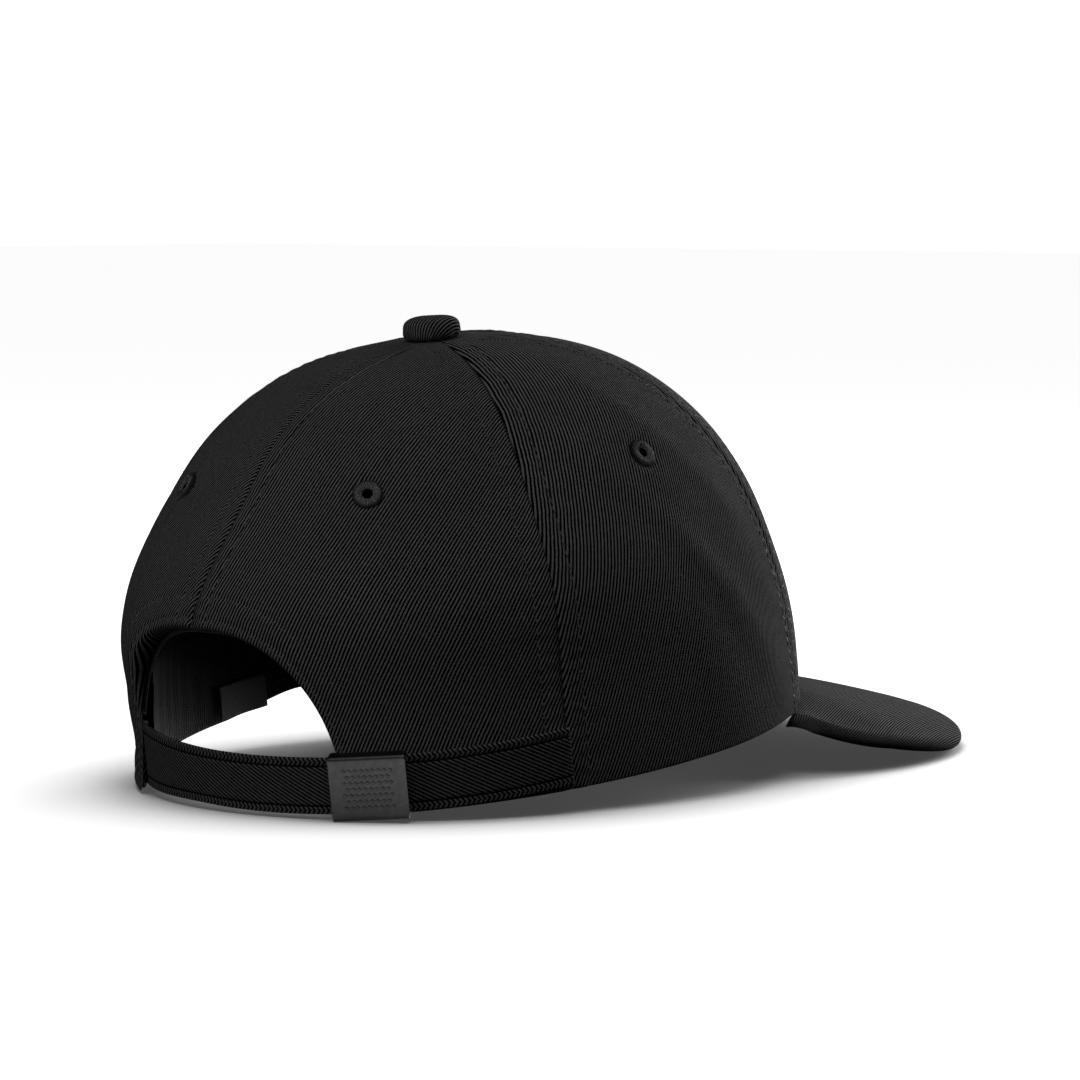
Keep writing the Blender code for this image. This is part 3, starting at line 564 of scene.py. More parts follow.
def build_panel(gore, cloth):
    """Outer face, folded lower edge and inner face of a crown panel, as one sheet."""
    share, climb, radius = panel_grid(gore, PANEL_COLUMNS, PANEL_ROWS)
    angle = gore.angle(share, climb)
    base = crown_face(angle, climb)
    out = crown_out(angle, climb)
    edge = border_distance(base, base[:, 0])
    relief = gore.relief(share, climb, edge)
    across, up = gore.cloth(share, climb)
    flat = np.stack((across, up), -1)
    outer = base + out * relief[..., None]
    hem, blend = (HEM_WIDTH, 1.5) if gore.side.startswith("rear") else (2.0, 2.0)
    deep = mix(2 * radius[:, None], PANEL_THICKNESS, smooth((edge - hem) / blend))
    inner = base + out * (np.minimum(relief, 0.3) - deep)[..., None]
    along = np.gradient(base[:, 0], axis=0)
    outward = out[:, 0]
    beyond = unit(np.cross(unit(along), outward))
    beyond = beyond * np.sign((beyond * (base[:, 0] - base[:, 1])).sum(-1))[:, None]
    flat_along = unit(np.gradient(flat[:, 0], axis=0))
    flat_beyond = np.stack((flat_along[:, 1], -flat_along[:, 0]), -1)
    wraps = []
    wrap_uv = []
    for turn in np.linspace(0.0, pi, 9)[1:-1]:
        middle = base[:, 0] - outward * radius[:, None]
        lift = relief[:, 0] * (0.5 + 0.5 * cos(turn))
        wraps.append(middle + outward * (radius * cos(turn) + lift)[:, None]
                     + beyond * (radius * sin(turn))[:, None])
        wrap_uv.append(flat[:, 0] + flat_beyond * (radius * turn)[:, None])
    grid = np.concatenate((inner[:, ::-1], np.stack(wraps[::-1], 1), outer), axis=1)
    uv = np.concatenate((flat[:, ::-1] + (3.0, 0.0), np.stack(wrap_uv[::-1], 1), flat), axis=1)
    obj = rings_to_mesh("crown_" + gore.side, grid, uv, cloth)
    close_sides(obj, grid.shape[0], grid.shape[1])
    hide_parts("panel_" + gore.side)


def close_sides(obj, columns, rows):
    """Joins a folded sheet's outer and inner faces along its two seams and its top."""
    shape = bmesh.new()
    shape.from_mesh(obj.data)
    shape.verts.ensure_lookup_table()
    half = rows // 2
    layer = shape.loops.layers.uv.active
    for column, flip in ((0, False), (columns - 1, True)):
        start = column * rows
        for k in range(half - 1):
            a, b = start + k, start + k + 1
            c, d = start + rows - 2 - k, start + rows - 1 - k
            ring = [a, b, c, d]
            face = shape.faces.new([shape.verts[v] for v in (ring[::-1] if flip else ring)])
            for loop in face.loops:
                loop[layer].uv = loop.vert.link_loops[0][layer].uv
    for i in range(columns - 1):
        ring = (i * rows, (i + 1) * rows, (i + 1) * rows + rows - 1, i * rows + rows - 1)
        shape.faces.new([shape.verts[v] for v in ring[::-1]])
    shape.to_mesh(obj.data)
    shape.free()


# ---- stitching -------------------------------------------------------

def walk(points, pitch):
    """Evenly spaced parameters (0 to 1 by index) along a polyline."""
    way = way_along(points)
    count = max(int(way[-1] / pitch), 2)
    marks = (np.arange(count) + 0.5) / count * way[-1]
    return np.interp(marks, way, np.arange(len(points)))


def stitch_bodies(points, normals, length=STITCH_LENGTH, width=STITCH_WIDTH, pitch=STITCH_PITCH):
    """Vertices and faces of small sunk thread lengths laid along a line on the cloth."""
    marks = walk(points, pitch)
    index = np.arange(len(points))
    middle = read_at(marks, index, points)
    normal = unit(read_at(marks, index, normals))
    along = unit(read_at(marks + 0.3, index, points) - read_at(marks - 0.3, index, points))
    side = np.cross(normal, along)
    lean = radians(STITCH_LEAN)
    along, side = along * cos(lean) + side * sin(lean), side * cos(lean) - along * sin(lean)
    vertices = []
    faces = []
    ring_count, around = 5, 6
    for k in range(ring_count):
        t = 2.0 * k / (ring_count - 1) - 1
        swell = sqrt(max(1 - t ** 4, 0.0)) * 0.9 + 0.1
        lift = width * (0.35 * (1 - t * t) - 0.15)
        for n in range(around):
            a = 2 * pi * n / around
            vertices.append(middle + along * (t * length / 2)
                            + side * (width / 2 * swell * cos(a))
                            + normal * (width / 2 * swell * sin(a) + lift))
    cloud = np.stack(vertices, 1)
    for k in range(ring_count - 1):
        for n in range(around):
            m = (n + 1) % around
            faces.append((k * around + n, k * around + m, (k + 1) * around + m,
                          (k + 1) * around + n))
    faces = np.array(faces)
    size = ring_count * around
    offsets = (np.arange(len(middle)) * size)[:, None, None]
    return cloud.reshape(-1, 3), (faces[None] + offsets).reshape(-1, 4)


def gather(parts):
    points = []
    faces = []
    offset = 0
    for cloud, quads in parts:
        points.append(cloud)
        faces.append(quads + offset)
        offset += len(cloud)
    return np.concatenate(points), np.concatenate(faces)


def on_gore(gore, share, climb, edge):
    """Points and directions of a line on a panel's finished face."""
    angle = gore.angle(share, climb)
    out = crown_out(angle, climb)
    return crown_face(angle, climb) + out * gore.relief(share, climb, edge)[:, None], out


def seam_lines(gore):
    """The stitch rows beside a panel's two seams."""
    lines = []
    border_share, border_climb, _ = low_border(gore, 200)
    border = crown_face(gore.angle(border_share, border_climb), border_climb)
    for first in (True, False):
        at_rear = gore.side.startswith("rear") and (first == (gore.side == "rear_right"))
        foot = ARCH_HEIGHT + 2.5 if at_rear else 3.0
        climb = np.linspace(climb_at(foot), 80.5, 160)
        width = np.interp(climb, gore.TABLE, gore.width)
        share = np.minimum(ROW_OFFSET / width, 0.30)
        share = share if first else 1 - share
        edge = border_distance(crown_face(gore.angle(share, climb), climb), border)
        lines.append(on_gore(gore, share, climb, edge))
    return lines


def hem_lines(gore):
    """Rows along the arch: one at the hem's depth and one close to the edge."""
    lines = []
    for inset in (HEM_WIDTH, 2.0):
        turn = np.linspace(0.0, 1.0, 160)
        angle, height = arch_edge(turn, gore.side[5:], inset)
        keep = height > 3.0
        angle, height = angle[keep], height[keep]
        if gore.side == "rear_left":
            angle = 360.0 - angle
        climb = climb_at(height)
        share = np.clip(gore.share(angle, climb), 0.0, 1.0)
        inside = (share > 0.003) & (share < 0.997)
        share, climb = share[inside], climb[inside]
        lines.append(on_gore(gore, share, climb, np.full(len(share), inset)))
    return lines


def build_stitching(gores, thread):
    parts = []
    for gore in gores:
        for points, normals in seam_lines(gore):
            parts.append(stitch_bodies(points, normals))
        if gore.side.startswith("rear"):
            for points, normals in hem_lines(gore):
                parts.append(stitch_bodies(points, normals))
    points, faces = gather(parts)
    cap_mesh("seam_stitching", points, faces, points[:, :2], thread)


# ---- eyelets and button ----------------------------------------------

def face_place(angle, climb):
    """Matrix, in millimetres, with Z along the crown's outward normal."""
    normal = Vector(crown_normal(angle, climb).tolist())
    turn = normal.to_track_quat("Z", "Y").to_matrix().to_4x4()
    return Matrix.Translation(Vector(crown_face(angle, climb).tolist())) @ turn


def millimetres(matrix):
    """The same placing for a mesh that is already in metres."""
    moved = matrix.copy()
    moved.translation = moved.translation * MM
    return moved


def build_eyelet(side, gore, thread, hollow):
    """Embroidered ring: a low torus whose surface is combed into radial threads."""
    around = EYELET_THREADS * 4
    turns = np.linspace(0.0, 2 * pi, around, endpoint=False)
    comb = 0.5 + 0.5 * np.cos(turns * EYELET_THREADS)
    wander = 0.5 * np.sin(turns * 7 + gore.seed) + 0.5 * np.sin(turns * 13 + 2 * gore.seed)
    rings = []
    for t in np.linspace(0.0, 1.0, 15):
        a = pi * (1.12 * t - 0.06)
        middle = 0.5 * (EYELET_RADIUS + EYELET_HOLE)
        half = 0.5 * (EYELET_RADIUS - EYELET_HOLE)
        radius = middle + (half - 0.10 + 0.10 * comb + 0.10 * wander) * np.cos(a)
        swell = max(sin(a), 0.0) ** 0.75
        height = (0.72 + 0.12 * comb + 0.06 * wander) * swell
        if a >= pi:
            radius = EYELET_HOLE + 0.05 + 0 * turns
            height = -2.2 + 0 * turns
        if a <= 0:
            radius = EYELET_RADIUS + 0.1 + 0 * turns
            height = -0.7 + 0 * turns
        rings.append(np.stack((radius * np.cos(turns), radius * np.sin(turns), height), -1))
    grid = np.stack(rings, 1)
    share = gore.share(np.array(EYELETS[side]), np.array(EYELET_CLIMB))
    lift = float(gore.relief(share, np.array(EYELET_CLIMB), np.array(60.0)))
    grid[..., 2] += lift + 0.05
    uv = together(turns[:, None] * 4.0, np.linspace(0, 5, 15)[None, :])
    place = STANCE @ millimetres(face_place(np.array(EYELETS[side]), np.array(EYELET_CLIMB)))
    ring = rings_to_mesh("eyelet_ring_" + side, grid, uv, thread, place=place,
                         closed=True)
    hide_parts("eyelet_" + side)
    # Near-black disc in the hole: painted shade for the dark inside of the crown.
    build_plug("eyelet_dark_" + side, EYELET_HOLE + 0.25, lift + 0.30, place, hollow)


def build_plug(name, radius, height, place, material):
    """Small dark disc low in an eyelet's hole: painted shade, standing in for the unlit inside
    seen through the hole.
    """
    turns = np.linspace(0.0, 2 * pi, 24, endpoint=False)
    radii = np.array((radius, 0.7 * radius, 0.35 * radius, 0.02))
    depths = height - np.array((0.0, 0.05, 0.08, 0.1))
    grid = together(radii[None, :] * np.cos(turns)[:, None],
                    radii[None, :] * np.sin(turns)[:, None],
                    depths[None, :])
    rings_to_mesh(name, grid, grid[..., :2], material, place=place, closed=True)


def build_button(cloth):
    """Cloth-covered dome, gathered a little where it turns under."""
    place = STANCE @ millimetres(Matrix.Translation(Vector((0.0, APEX_Y, CROWN_HEIGHT))))
    turns = np.linspace(0.0, 2 * pi, 144, endpoint=False)
    profile = []
    for t in np.linspace(0.0, 0.5, 14) * pi:
        profile.append((max(BUTTON_RADIUS * sin(t) ** 0.7, 0.02),
                        2.4 + (BUTTON_HEIGHT - 2.4) * max(cos(t), 0.0) ** 0.62))
    profile += [(BUTTON_RADIUS * k, h) for k, h in ((1.0, 2.0), (0.985, 1.4), (0.95, 0.9),
                                                     (0.90, 0.5), (0.80, 0.25), (0.5, 0.3))]
    profile = np.array(profile)
    way = way_along(profile)
    low = smooth((3.4 - profile[:, 1]) / 2.6)[None, :]
    gathers = (0.16 * np.sin(turns * 17 + np.sin(3 * turns)) + 0.10 * np.sin(turns * 9))[:, None]
    radius = profile[:, 0][None, :] + gathers * low * (profile[:, 0][None, :] > 1)
    height = profile[:, 1][None, :] + 0.10 * np.sin(turns * 2 + 0.7)[:, None] * (1 - low)
    grid = np.stack((radius * np.cos(turns)[:, None], radius * np.sin(turns)[:, None],
                     height), -1)
    uv = np.stack((way[None, :] * np.cos(turns)[:, None], way[None, :] * np.sin(turns)[:, None]),
                  -1)
    turned = radians(-35.0)
    uv = np.stack((uv[..., 0] * cos(turned) - uv[..., 1] * sin(turned),
                   uv[..., 0] * sin(turned) + uv[..., 1] * cos(turned)), -1)
    cover = rings_to_mesh("button_cloth", grid[:, ::-1], uv[:, ::-1], cloth, place=place,
                          closed=True)
    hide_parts("button_cover")


# ---- inside the crown ------------------------------------------------

def sheet_between(name, outer, inner, uv, material, replaced):
    """Closed strip: outer face, inner face and rounded long edges."""
    middle_low = 0.5 * (outer[:, :1] + inner[:, :1])
    middle_top = 0.5 * (outer[:, -1:] + inner[:, -1:])
    down = unit(outer[:, :1] - outer[:, 1:2]) * 0.2
    up = unit(outer[:, -1:] - outer[:, -2:-1]) * 0.2
    grid = np.concatenate((middle_low + down, outer, middle_top + up, inner[:, ::-1],
                           middle_low + down), axis=1)
    flat = np.concatenate((uv[:, :1], uv, uv[:, -1:], uv[:, ::-1], uv[:, :1]), axis=1)
    obj = rings_to_mesh(name, grid, flat, material)
    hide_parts(replaced)


def build_sweatband(lining):
    around = np.linspace(*SWEATBAND_ENDS, 420)[:, None]
    heights = np.linspace(SWEATBAND_HEIGHTS[0], SWEATBAND_HEIGHTS[1], 26)[None, :]
    climb = climb_at(heights + rim_rise(around) * (1 - heights / SWEATBAND_HEIGHTS[1]))
    way = around * 1.6
    share = (heights - SWEATBAND_HEIGHTS[0]) / (SWEATBAND_HEIGHTS[1] - SWEATBAND_HEIGHTS[0])
    gathers = np.sin(way * 0.9 + 1.5 * np.sin(way * 0.17)) * (1 - share) * share * 4
    puff = 0.45 * smooth(share / 0.2) * smooth((1 - share) / 0.12) + 0.12 * gathers
    rows = -0.3 * bell(heights - 3.0, 0.5) - 0.3 * bell(heights - 29.5, 0.5)
    depth = SWEATBAND_DEPTHS[1] - 0.4 + puff + rows
    outer = crown_point(around, climb, SWEATBAND_DEPTHS[0])
    inner = crown_point(around, climb, depth)
    uv = together(way, heights)
    sheet_between("sweatband_cloth", outer, inner, uv, lining, "sweatband")


def build_tapes(lining):
    for seam in ("rear", "side_right", "front_right", "front", "front_left", "side_left"):
        foot = ARCH_HEIGHT + BINDING_WIDTH + 1.5 if seam == "rear" else SWEATBAND_HEIGHTS[1] + 4
        climb = np.linspace(climb_at(foot), top_climb(8.2), 60)[None, :]
        across = np.linspace(-1.0, 1.0, 17)[:, None]
        radius = HALF_WIDTH * np.cos(np.radians(climb)) ** PLAN_POWER
        half = np.minimum(TAPE_HALF_WIDTH, 0.42 * radius)
        angle = seam_angle(seam, climb) + np.degrees(across * half / radius)
        rib = 0.12 * bell(np.abs(across) - 0.8, 0.06) - 0.25 * bell(np.abs(across) - 1.0, 0.06)
        puff = 0.12 * np.sin(climb * 2.2) * (1 - across ** 2)
        outer = crown_point(angle, climb, TAPE_DEPTHS[0])
        inner = crown_point(angle, climb, TAPE_DEPTHS[1] + rib + puff)
        uv = together(across * half, climb * 1.8)
        sheet_between("tape_" + seam, outer.swapaxes(0, 1), inner.swapaxes(0, 1),
                      uv.swapaxes(0, 1), lining, "seam_tape_" + seam)


def build_stiffeners(mesh_cloth):
    for side, start, stop in (("right", SEAMS["front_right"], 180.0),
                              ("left", 180.0, SEAMS["front_left"])):
        around = np.linspace(start + 0.3, stop - 0.3, 60)[:, None]
        heights = np.linspace(1.0, STIFFENER_TOP, 50)[None, :]
        climb = climb_at(heights)
        wave = 0.05 * np.sin(around * 1.1 + heights * 0.2)
        outer = crown_point(around, climb, STIFFENER_DEPTHS[0])
        inner = crown_point(around, climb, STIFFENER_DEPTHS[1] + wave)
        uv = together(around * 1.5, heights)
        sheet_between("stiffener_cloth_" + side, outer, inner, uv, mesh_cloth,
                      "stiffener_" + side)


def build_binding(lining):
    """Folded facing along the arch, inside the rear panels."""
    reach = degrees(BINDING_WIDTH / REAR_LENGTH) * 1.5
    share = np.linspace(-1.0, 1.0, 121)[:, None]
    step = np.linspace(0.0, 1.0, 12)[None, :]
    half = np.where(share < 0, ARCH_HALF_ANGLES["left"], ARCH_HALF_ANGLES["right"])
    half = half + reach * step
    top = ARCH_HEIGHT + BINDING_WIDTH * step
    power = np.where(share < 0, ARCH_POWERS["left"], ARCH_POWERS["right"])
    foot = half * (1 - (BINDING_FOOT / top) ** power) ** (1 / power)
    angle = foot * np.sin(share * pi / 2)
    height = top * (1 - (np.abs(angle) / half) ** power) ** (1 / power)
    climb = climb_at(height)
    puff = 0.15 * np.sin(share * 60 + np.sin(share * 17)) * np.sin(step * pi)
    outer = crown_point(angle, climb, BINDING_DEPTHS[0])
    inner = crown_point(angle, climb, BINDING_DEPTHS[1] + puff)
    uv = together(angle * 1.8, step * BINDING_WIDTH)
    sheet_between("arch_facing", outer, inner, uv, lining, "arch_binding")


def build_label(material):
    reach = degrees(LABEL_HALF_WIDTH / HALF_WIDTH)
    around = np.linspace(LABEL_ANGLE - reach, LABEL_ANGLE + reach, 30)[:, None]
    heights = np.linspace(LABEL_HEIGHTS[0], LABEL_HEIGHTS[1], 16)[None, :]
    curl = 0.25 * np.sin(around * 0.9) * smooth((4.0 - heights) / 6.0)
    grids = []
    for depth in LABEL_DEPTHS:
        flat = crown_point(around + 0 * heights, 0.0 * heights, depth + curl)
        flat[..., 2] += heights
        grids.append(flat)
    uv = together(around * 1.45, heights)
    sheet_between("label_cloth", grids[0], grids[1], uv, material, "inner_label")


# ---- visor -----------------------------------------------------------

def visor_sheet(x, y):
    fall = VISOR_FALL * (y + FRONT_LENGTH)
    return VISOR_DROP + fall - (VISOR_ARCH_RADIUS - np.sqrt(VISOR_ARCH_RADIUS ** 2 - x * x))


def visor_edge(u):
    share = np.abs(u)
    turn = np.minimum(share / VISOR_TURN, 1.0) * pi / 2
    back = np.clip((share - VISOR_TURN) / (1 - VISOR_TURN), 0.0, 1.0)
    x = np.where(back > 0, mix(VISOR_HALF_WIDTH, VISOR_CORNER[0], back * back),
                 VISOR_HALF_WIDTH * np.sin(turn))
    y = np.where(back > 0, mix(VISOR_WIDEST_Y, VISOR_CORNER[1], back),
                 VISOR_WIDEST_Y + (VISOR_FRONT - VISOR_WIDEST_Y) * np.cos(turn))
    return np.stack((-np.sign(u) * x, -y, 0 * x), -1)


def visor_root(u):
    root = crown_point(180.0 - u * (180.0 - VISOR_ROOT_ANGLE), 0 * u, VISOR_ROOT_TUCK + 0 * u)
    return root * (1.0, 1.0, 0.0)


def visor_point(u, v, up, out):
    """Point of the visor, as in the CAD, for arrays of the same shape."""
    root = visor_root(u)
    edge = visor_edge(u)
    v = v + out / np.maximum(np.linalg.norm(edge - root, axis=-1), VISOR_LEAST_WIDTH)
    flat = mix(root, edge, v[..., None])
    hold = (1 - v) ** 2
    drop = VISOR_SIDE_DROP * smooth((np.abs(u) - VISOR_SIDE_SHARE) / (1 - VISOR_SIDE_SHARE))
    lift = (VISOR_ROOT_Z - visor_sheet(root[..., 0], root[..., 1])) * hold - drop * (1 - hold)
    tilt = unit(np.stack((flat[..., 0] / VISOR_ARCH_RADIUS, 0 * v - VISOR_FALL, 0 * v + 1.0), -1))
    middle = flat * (1.0, 1.0, 0.0)
    middle[..., 2] = visor_sheet(flat[..., 0], flat[..., 1]) + lift
    return middle + tilt * up[..., None]


def build_visor(cloth):
    """Upper cover wrapped round the edge, and the under cover inside its hem."""
    u = np.linspace(-1.0, 1.0, 260)
    u = VISOR_REACH * (np.sin(u * pi / 2) * 0.35 + u * 0.65)
    v = np.concatenate((np.linspace(0.0, 0.99, 60), np.full(15, 1.0)))
    turn = np.linspace(0.0, 1.0, 15) * pi
    up = np.concatenate((np.full(60, VISOR_SKIN), VISOR_SKIN * np.cos(turn)))
    out = np.concatenate((-1.7 * v[:60], -1.7 + 1.9 * np.sin(turn)))
    visor_layer(u, v, up, out, "visor_cloth_top", "visor_top_cover", cloth)
    v = np.concatenate((np.linspace(0.0, 0.97, 50), (1.0, 1.0, 1.0)))
    up = np.concatenate((np.full(50, -VISOR_SKIN), (-VISOR_SKIN, -VISOR_SKIN + 0.15, -1.3)))
    out = np.concatenate((-3.0 * v[:50], (-3.0, -2.6, -2.5)))
    visor_layer(u, v, up, out, "visor_cloth_under", "visor_under_cover", cloth)


def visor_layer(u, v, up, out, name, replaced, cloth):
    grid_u, grid_v = np.meshgrid(u, v, indexing="ij")
    grid_up = np.broadcast_to(up, grid_u.shape)
    grid_out = np.broadcast_to(out, grid_u.shape)
    points = visor_point(grid_u, grid_v, grid_up, grid_out)
    dimple = 0.10 * ripple(points[..., 0] * 0.05, points[..., 1] * 0.07, 4.0)
    points[..., 2] += dimple * np.sign(up)[None, :] * smooth((1.0 - grid_v) / 0.1)
    tuck = 0.92 * smooth((np.abs(grid_u) - 0.950) / 0.044)[..., None]
    points = mix(points, visor_point(grid_u, 0 * grid_v, 0 * grid_v, 0 * grid_v), tuck)
    way = np.linalg.norm(np.diff(points, axis=1), axis=-1)
    way = np.concatenate((np.zeros((len(u), 1)), np.cumsum(way, axis=1)), axis=1)
    root = points[:, 0]
    edge = points[:, -1]
    outward = unit((edge - root) * (1.0, 1.0, 0.0))
    flat = root[:, None, :2] + outward[:, None, :2] * way[..., None]
    uv = np.stack((-flat[..., 0], flat[..., 1]), -1)
    obj = rings_to_mesh(name, points, uv, cloth)
    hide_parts(replaced)


# ---- strap and clasp -------------------------------------------------

def strap_place():
    dip = radians(STRAP_DIP_ANGLE)
    axis = Vector((0, 0, 1)).cross(Vector((-sin(dip), cos(dip), 0.0)))
    return (Matrix.Translation(Vector(STRAP_CENTRE) * MM)
            @ Matrix.Rotation(radians(STRAP_TILT), 4, axis))


def clasp_place():
    a = radians(CLASP_ANGLE)
    along = Vector((-cos(a), -sin(a), 0.0))
    outwards = Vector((-sin(a), cos(a), 0.0))
    turn = Matrix((along, outwards, along.cross(outwards))).transposed().to_4x4()
    return strap_place() @ Matrix.Translation(outwards * STRAP_RADIUS * MM) @ turn


def build_strap(webbing):
    """Webbing with raised selvages, following the CAD strap's arc."""
    angle = np.linspace(STRAP_START, STRAP_END, 300)
    half = STRAP_WIDTH / 2
    heights = np.linspace(-1.0, 1.0, 41) * (half - 0.25)
    groove = -0.20 * bell(np.abs(heights) - SELVAGE, 0.35)
    face = STRAP_THICKNESS / 2 - 0.06 + groove
    ring_h = np.concatenate((heights, (half,), heights[::-1], (-half,)))
    ring_r = np.concatenate((face, (0.0,), -face[::-1], (0.0,)))
    ring_h = np.append(ring_h, ring_h[0])
    ring_r = np.append(ring_r, ring_r[0])
    across = np.concatenate((heights, (half,), heights[::-1] + 40.0, (-half + 40.0,),
                             (heights[0],)))
    a = np.radians(angle)[:, None]
    thin = smooth((STRAP_END - angle) / 0.5 + 0.55)[:, None]
    radius = STRAP_RADIUS + ring_r[None, :] * thin
    splay = STRAP_SPLAY * smooth((-4.0 - angle) / 30.0)[:, None]
    drop = splay * smooth((2.0 - ring_h[None, :]) / (2.0 + half))
    grid = together(-radius * np.sin(a), radius * np.cos(a),
                    ring_h[None, :] - drop)
    way = a * STRAP_RADIUS
    uv = together(way, across[None, :])
    obj = rings_to_mesh("strap_webbing", grid, uv, webbing, "strap",
                        STANCE @ strap_place())
    cap_ends(obj, grid.shape[0], grid.shape[1])
    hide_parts("strap")


def cap_ends(obj, columns, rows):
    shape = bmesh.new()
    shape.from_mesh(obj.data)
    shape.verts.ensure_lookup_table()
    for column in (0, columns - 1):
        ring = [shape.verts[column * rows + k] for k in range(rows - 1)]
        shape.faces.new(ring if column else ring[::-1])
    shape.to_mesh(obj.data)
    shape.free()


def clasp_sag(x):
    return x * x / (2 * STRAP_RADIUS)


def rounded_section(corners, radius, steps):
    """Closed outline with each corner rounded; radius may be one per corner."""
    count = len(corners)
    points = []
    for k, corner in enumerate(corners):
        corner = np.array(corner, float)
        before = np.array(corners[k - 1], float) - corner
        after = np.array(corners[(k + 1) % count], float) - corner
        reach = min(radius[k], 0.45 * np.linalg.norm(before), 0.45 * np.linalg.norm(after))
        start = corner + before / np.linalg.norm(before) * reach
        stop = corner + after / np.linalg.norm(after) * reach
        for t in np.linspace(0.0, 1.0, steps):
            points.append((1 - t) ** 2 * start + 2 * t * (1 - t) * corner + t * t * stop)
    return np.array(points)


def build_clasp_cover(metal):
    """Bent sheet cover with rolled folds, bowed ends and a field of small studs."""
    lip, face, sheet = COVER_LIP, COVER_FACE, COVER_SHEET
    high = COVER_HALF_HEIGHT
    inner = high - 0.5
    corners = ((lip, -high), (face, -high), (face, high), (lip, high), (lip, inner),
               (face - sheet, inner), (face - sheet, -inner), (lip, -inner))
    radii = (0.18, COVER_FOLD * 1.5, COVER_FOLD * 1.5, 0.18, 0.18, 0.7, 0.7, 0.18)
    section = rounded_section(corners, radii, 7)
    stations = np.array((-9.72, -9.7, -9.6, -9.3, -8.8, -8.2, -8.0, -5.0, -2.0, 1.0, 4.0, 7.0,
                         8.9, 9.2, 9.5, 9.65, 9.7))
    lips = np.interp(stations, (-8.2, -8.0, 8.9, 9.7), (2.3, lip, lip, 2.2))
    grid = []
    for x, low in zip(stations, lips):
        ring = section.copy()
        ring[:, 0] = np.maximum(ring[:, 0], low + (ring[:, 0] - lip) * 0.02)
        bow = 1 + COVER_BOW * (1 - (ring[:, 1] / high) ** 2) * COVER_BOW_SHARES[int(x >= 0)]
        pinch = 0.10 * smooth((abs(x) - 9.45) / 0.3)
        grid.append(np.stack((x * bow, ring[:, 0] - pinch * np.sign(ring[:, 0] - 2.8),
                              ring[:, 1]), -1))
    grid = np.array(grid)
    grid = np.concatenate((grid, grid[:, :1]), axis=1)
    uv = np.stack((grid[..., 0], grid[..., 2]), -1)
    place = STANCE @ clasp_place()
    obj = rings_to_mesh("clasp_plate", grid, uv, metal, "cover", place)
    cap_ends(obj, grid.shape[0], grid.shape[1])
    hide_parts("clasp_cover")
    knuckle = []
    for z in np.linspace(-1.0, 1.0, 9) * (CLASP_WALL_IN - 0.3):
        a = np.linspace(0.0, 2 * pi, 25)
        knuckle.append(np.stack((PIN_X + KNUCKLE_RADIUS * np.cos(a),
                                 PIN_Y + KNUCKLE_RADIUS * np.sin(a), z + 0 * a), -1))
    knuckle = np.array(knuckle)
    barrel = rings_to_mesh("clasp_knuckle", knuckle, knuckle[..., [0, 2]], metal,
                           "cover", place)
    cap_ends(barrel, knuckle.shape[0], knuckle.shape[1])
    build_studs(metal, place)


def build_studs(metal, place):
    """Raised lozenges in a diamond layout on the cover's face."""
    points = []
    faces = []
    for row in range(STUD_ROWS):
        for column in range(STUD_COLUMNS):
            x = STUD_START[0] + STUD_STEP[0] * (column + (0.5 if row % 2 else 0.0))
            z = STUD_START[1] + STUD_STEP[1] * row
            if x > STUD_REACH:
                continue
            base = len(points)
            wide, high = STUD_HALF
            ring = ((wide, 0.0), (0.0, high), (-wide, 0.0), (0.0, -high))
            points += [(x + 1.15 * a, COVER_FACE - 0.05, z + 1.15 * b) for a, b in ring]
            points += [(x + 0.75 * a, COVER_FACE + 0.20, z + 0.75 * b) for a, b in ring]
            faces += [(base + k, base + (k + 1) % 4, base + 4 + (k + 1) % 4, base + 4 + k)
                      for k in range(4)]
            faces.append((base + 4, base + 5, base + 6, base + 7))
    points = np.array(points)
    obj = cap_mesh("clasp_studs", points, faces, points[:, [0, 2]], metal, "cover",
                   place)
    obj.data.polygons.foreach_set("use_smooth", np.zeros(len(faces), bool))


def build_tab(webbing):
    """Webbing loop that ties the clasp's tray to the panel."""
    path = np.array([(x, y - clasp_sag(x)) for x, y in TAB_PATH])
    fine = np.linspace(0, len(path) - 1, 90)
    path = averaged(read_at(fine, np.arange(len(path)), path), 2)
    along = unit(np.gradient(path, axis=0))
    side = np.stack((-along[:, 1], along[:, 0]), -1)
    section = rounded_section(((-0.5, -1.0), (0.5, -1.0), (0.5, 1.0), (-0.5, 1.0)),
                              (0.2,) * 4, 4)
    section = np.concatenate((section, section[:1]))
    half = TAB_THICKNESS / 2
    grid = []
    for p, s in zip(path, side):
        ring = p[None, :] + s[None, :] * (section[:, :1] * 2 * half)
        grid.append(np.stack((ring[:, 0], ring[:, 1], section[:, 1] * TAB_HALF_WIDTH), -1))
    grid = np.array(grid)
    way = way_along(path)
    uv = together(way[:, None], grid[0, :, 2][None, :])
    obj = rings_to_mesh("tab_webbing", grid, uv, webbing, "cap",
                        STANCE @ clasp_place())
    cap_ends(obj, grid.shape[0], grid.shape[1])
    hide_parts("clasp_tab")


# ---- materials -------------------------------------------------------

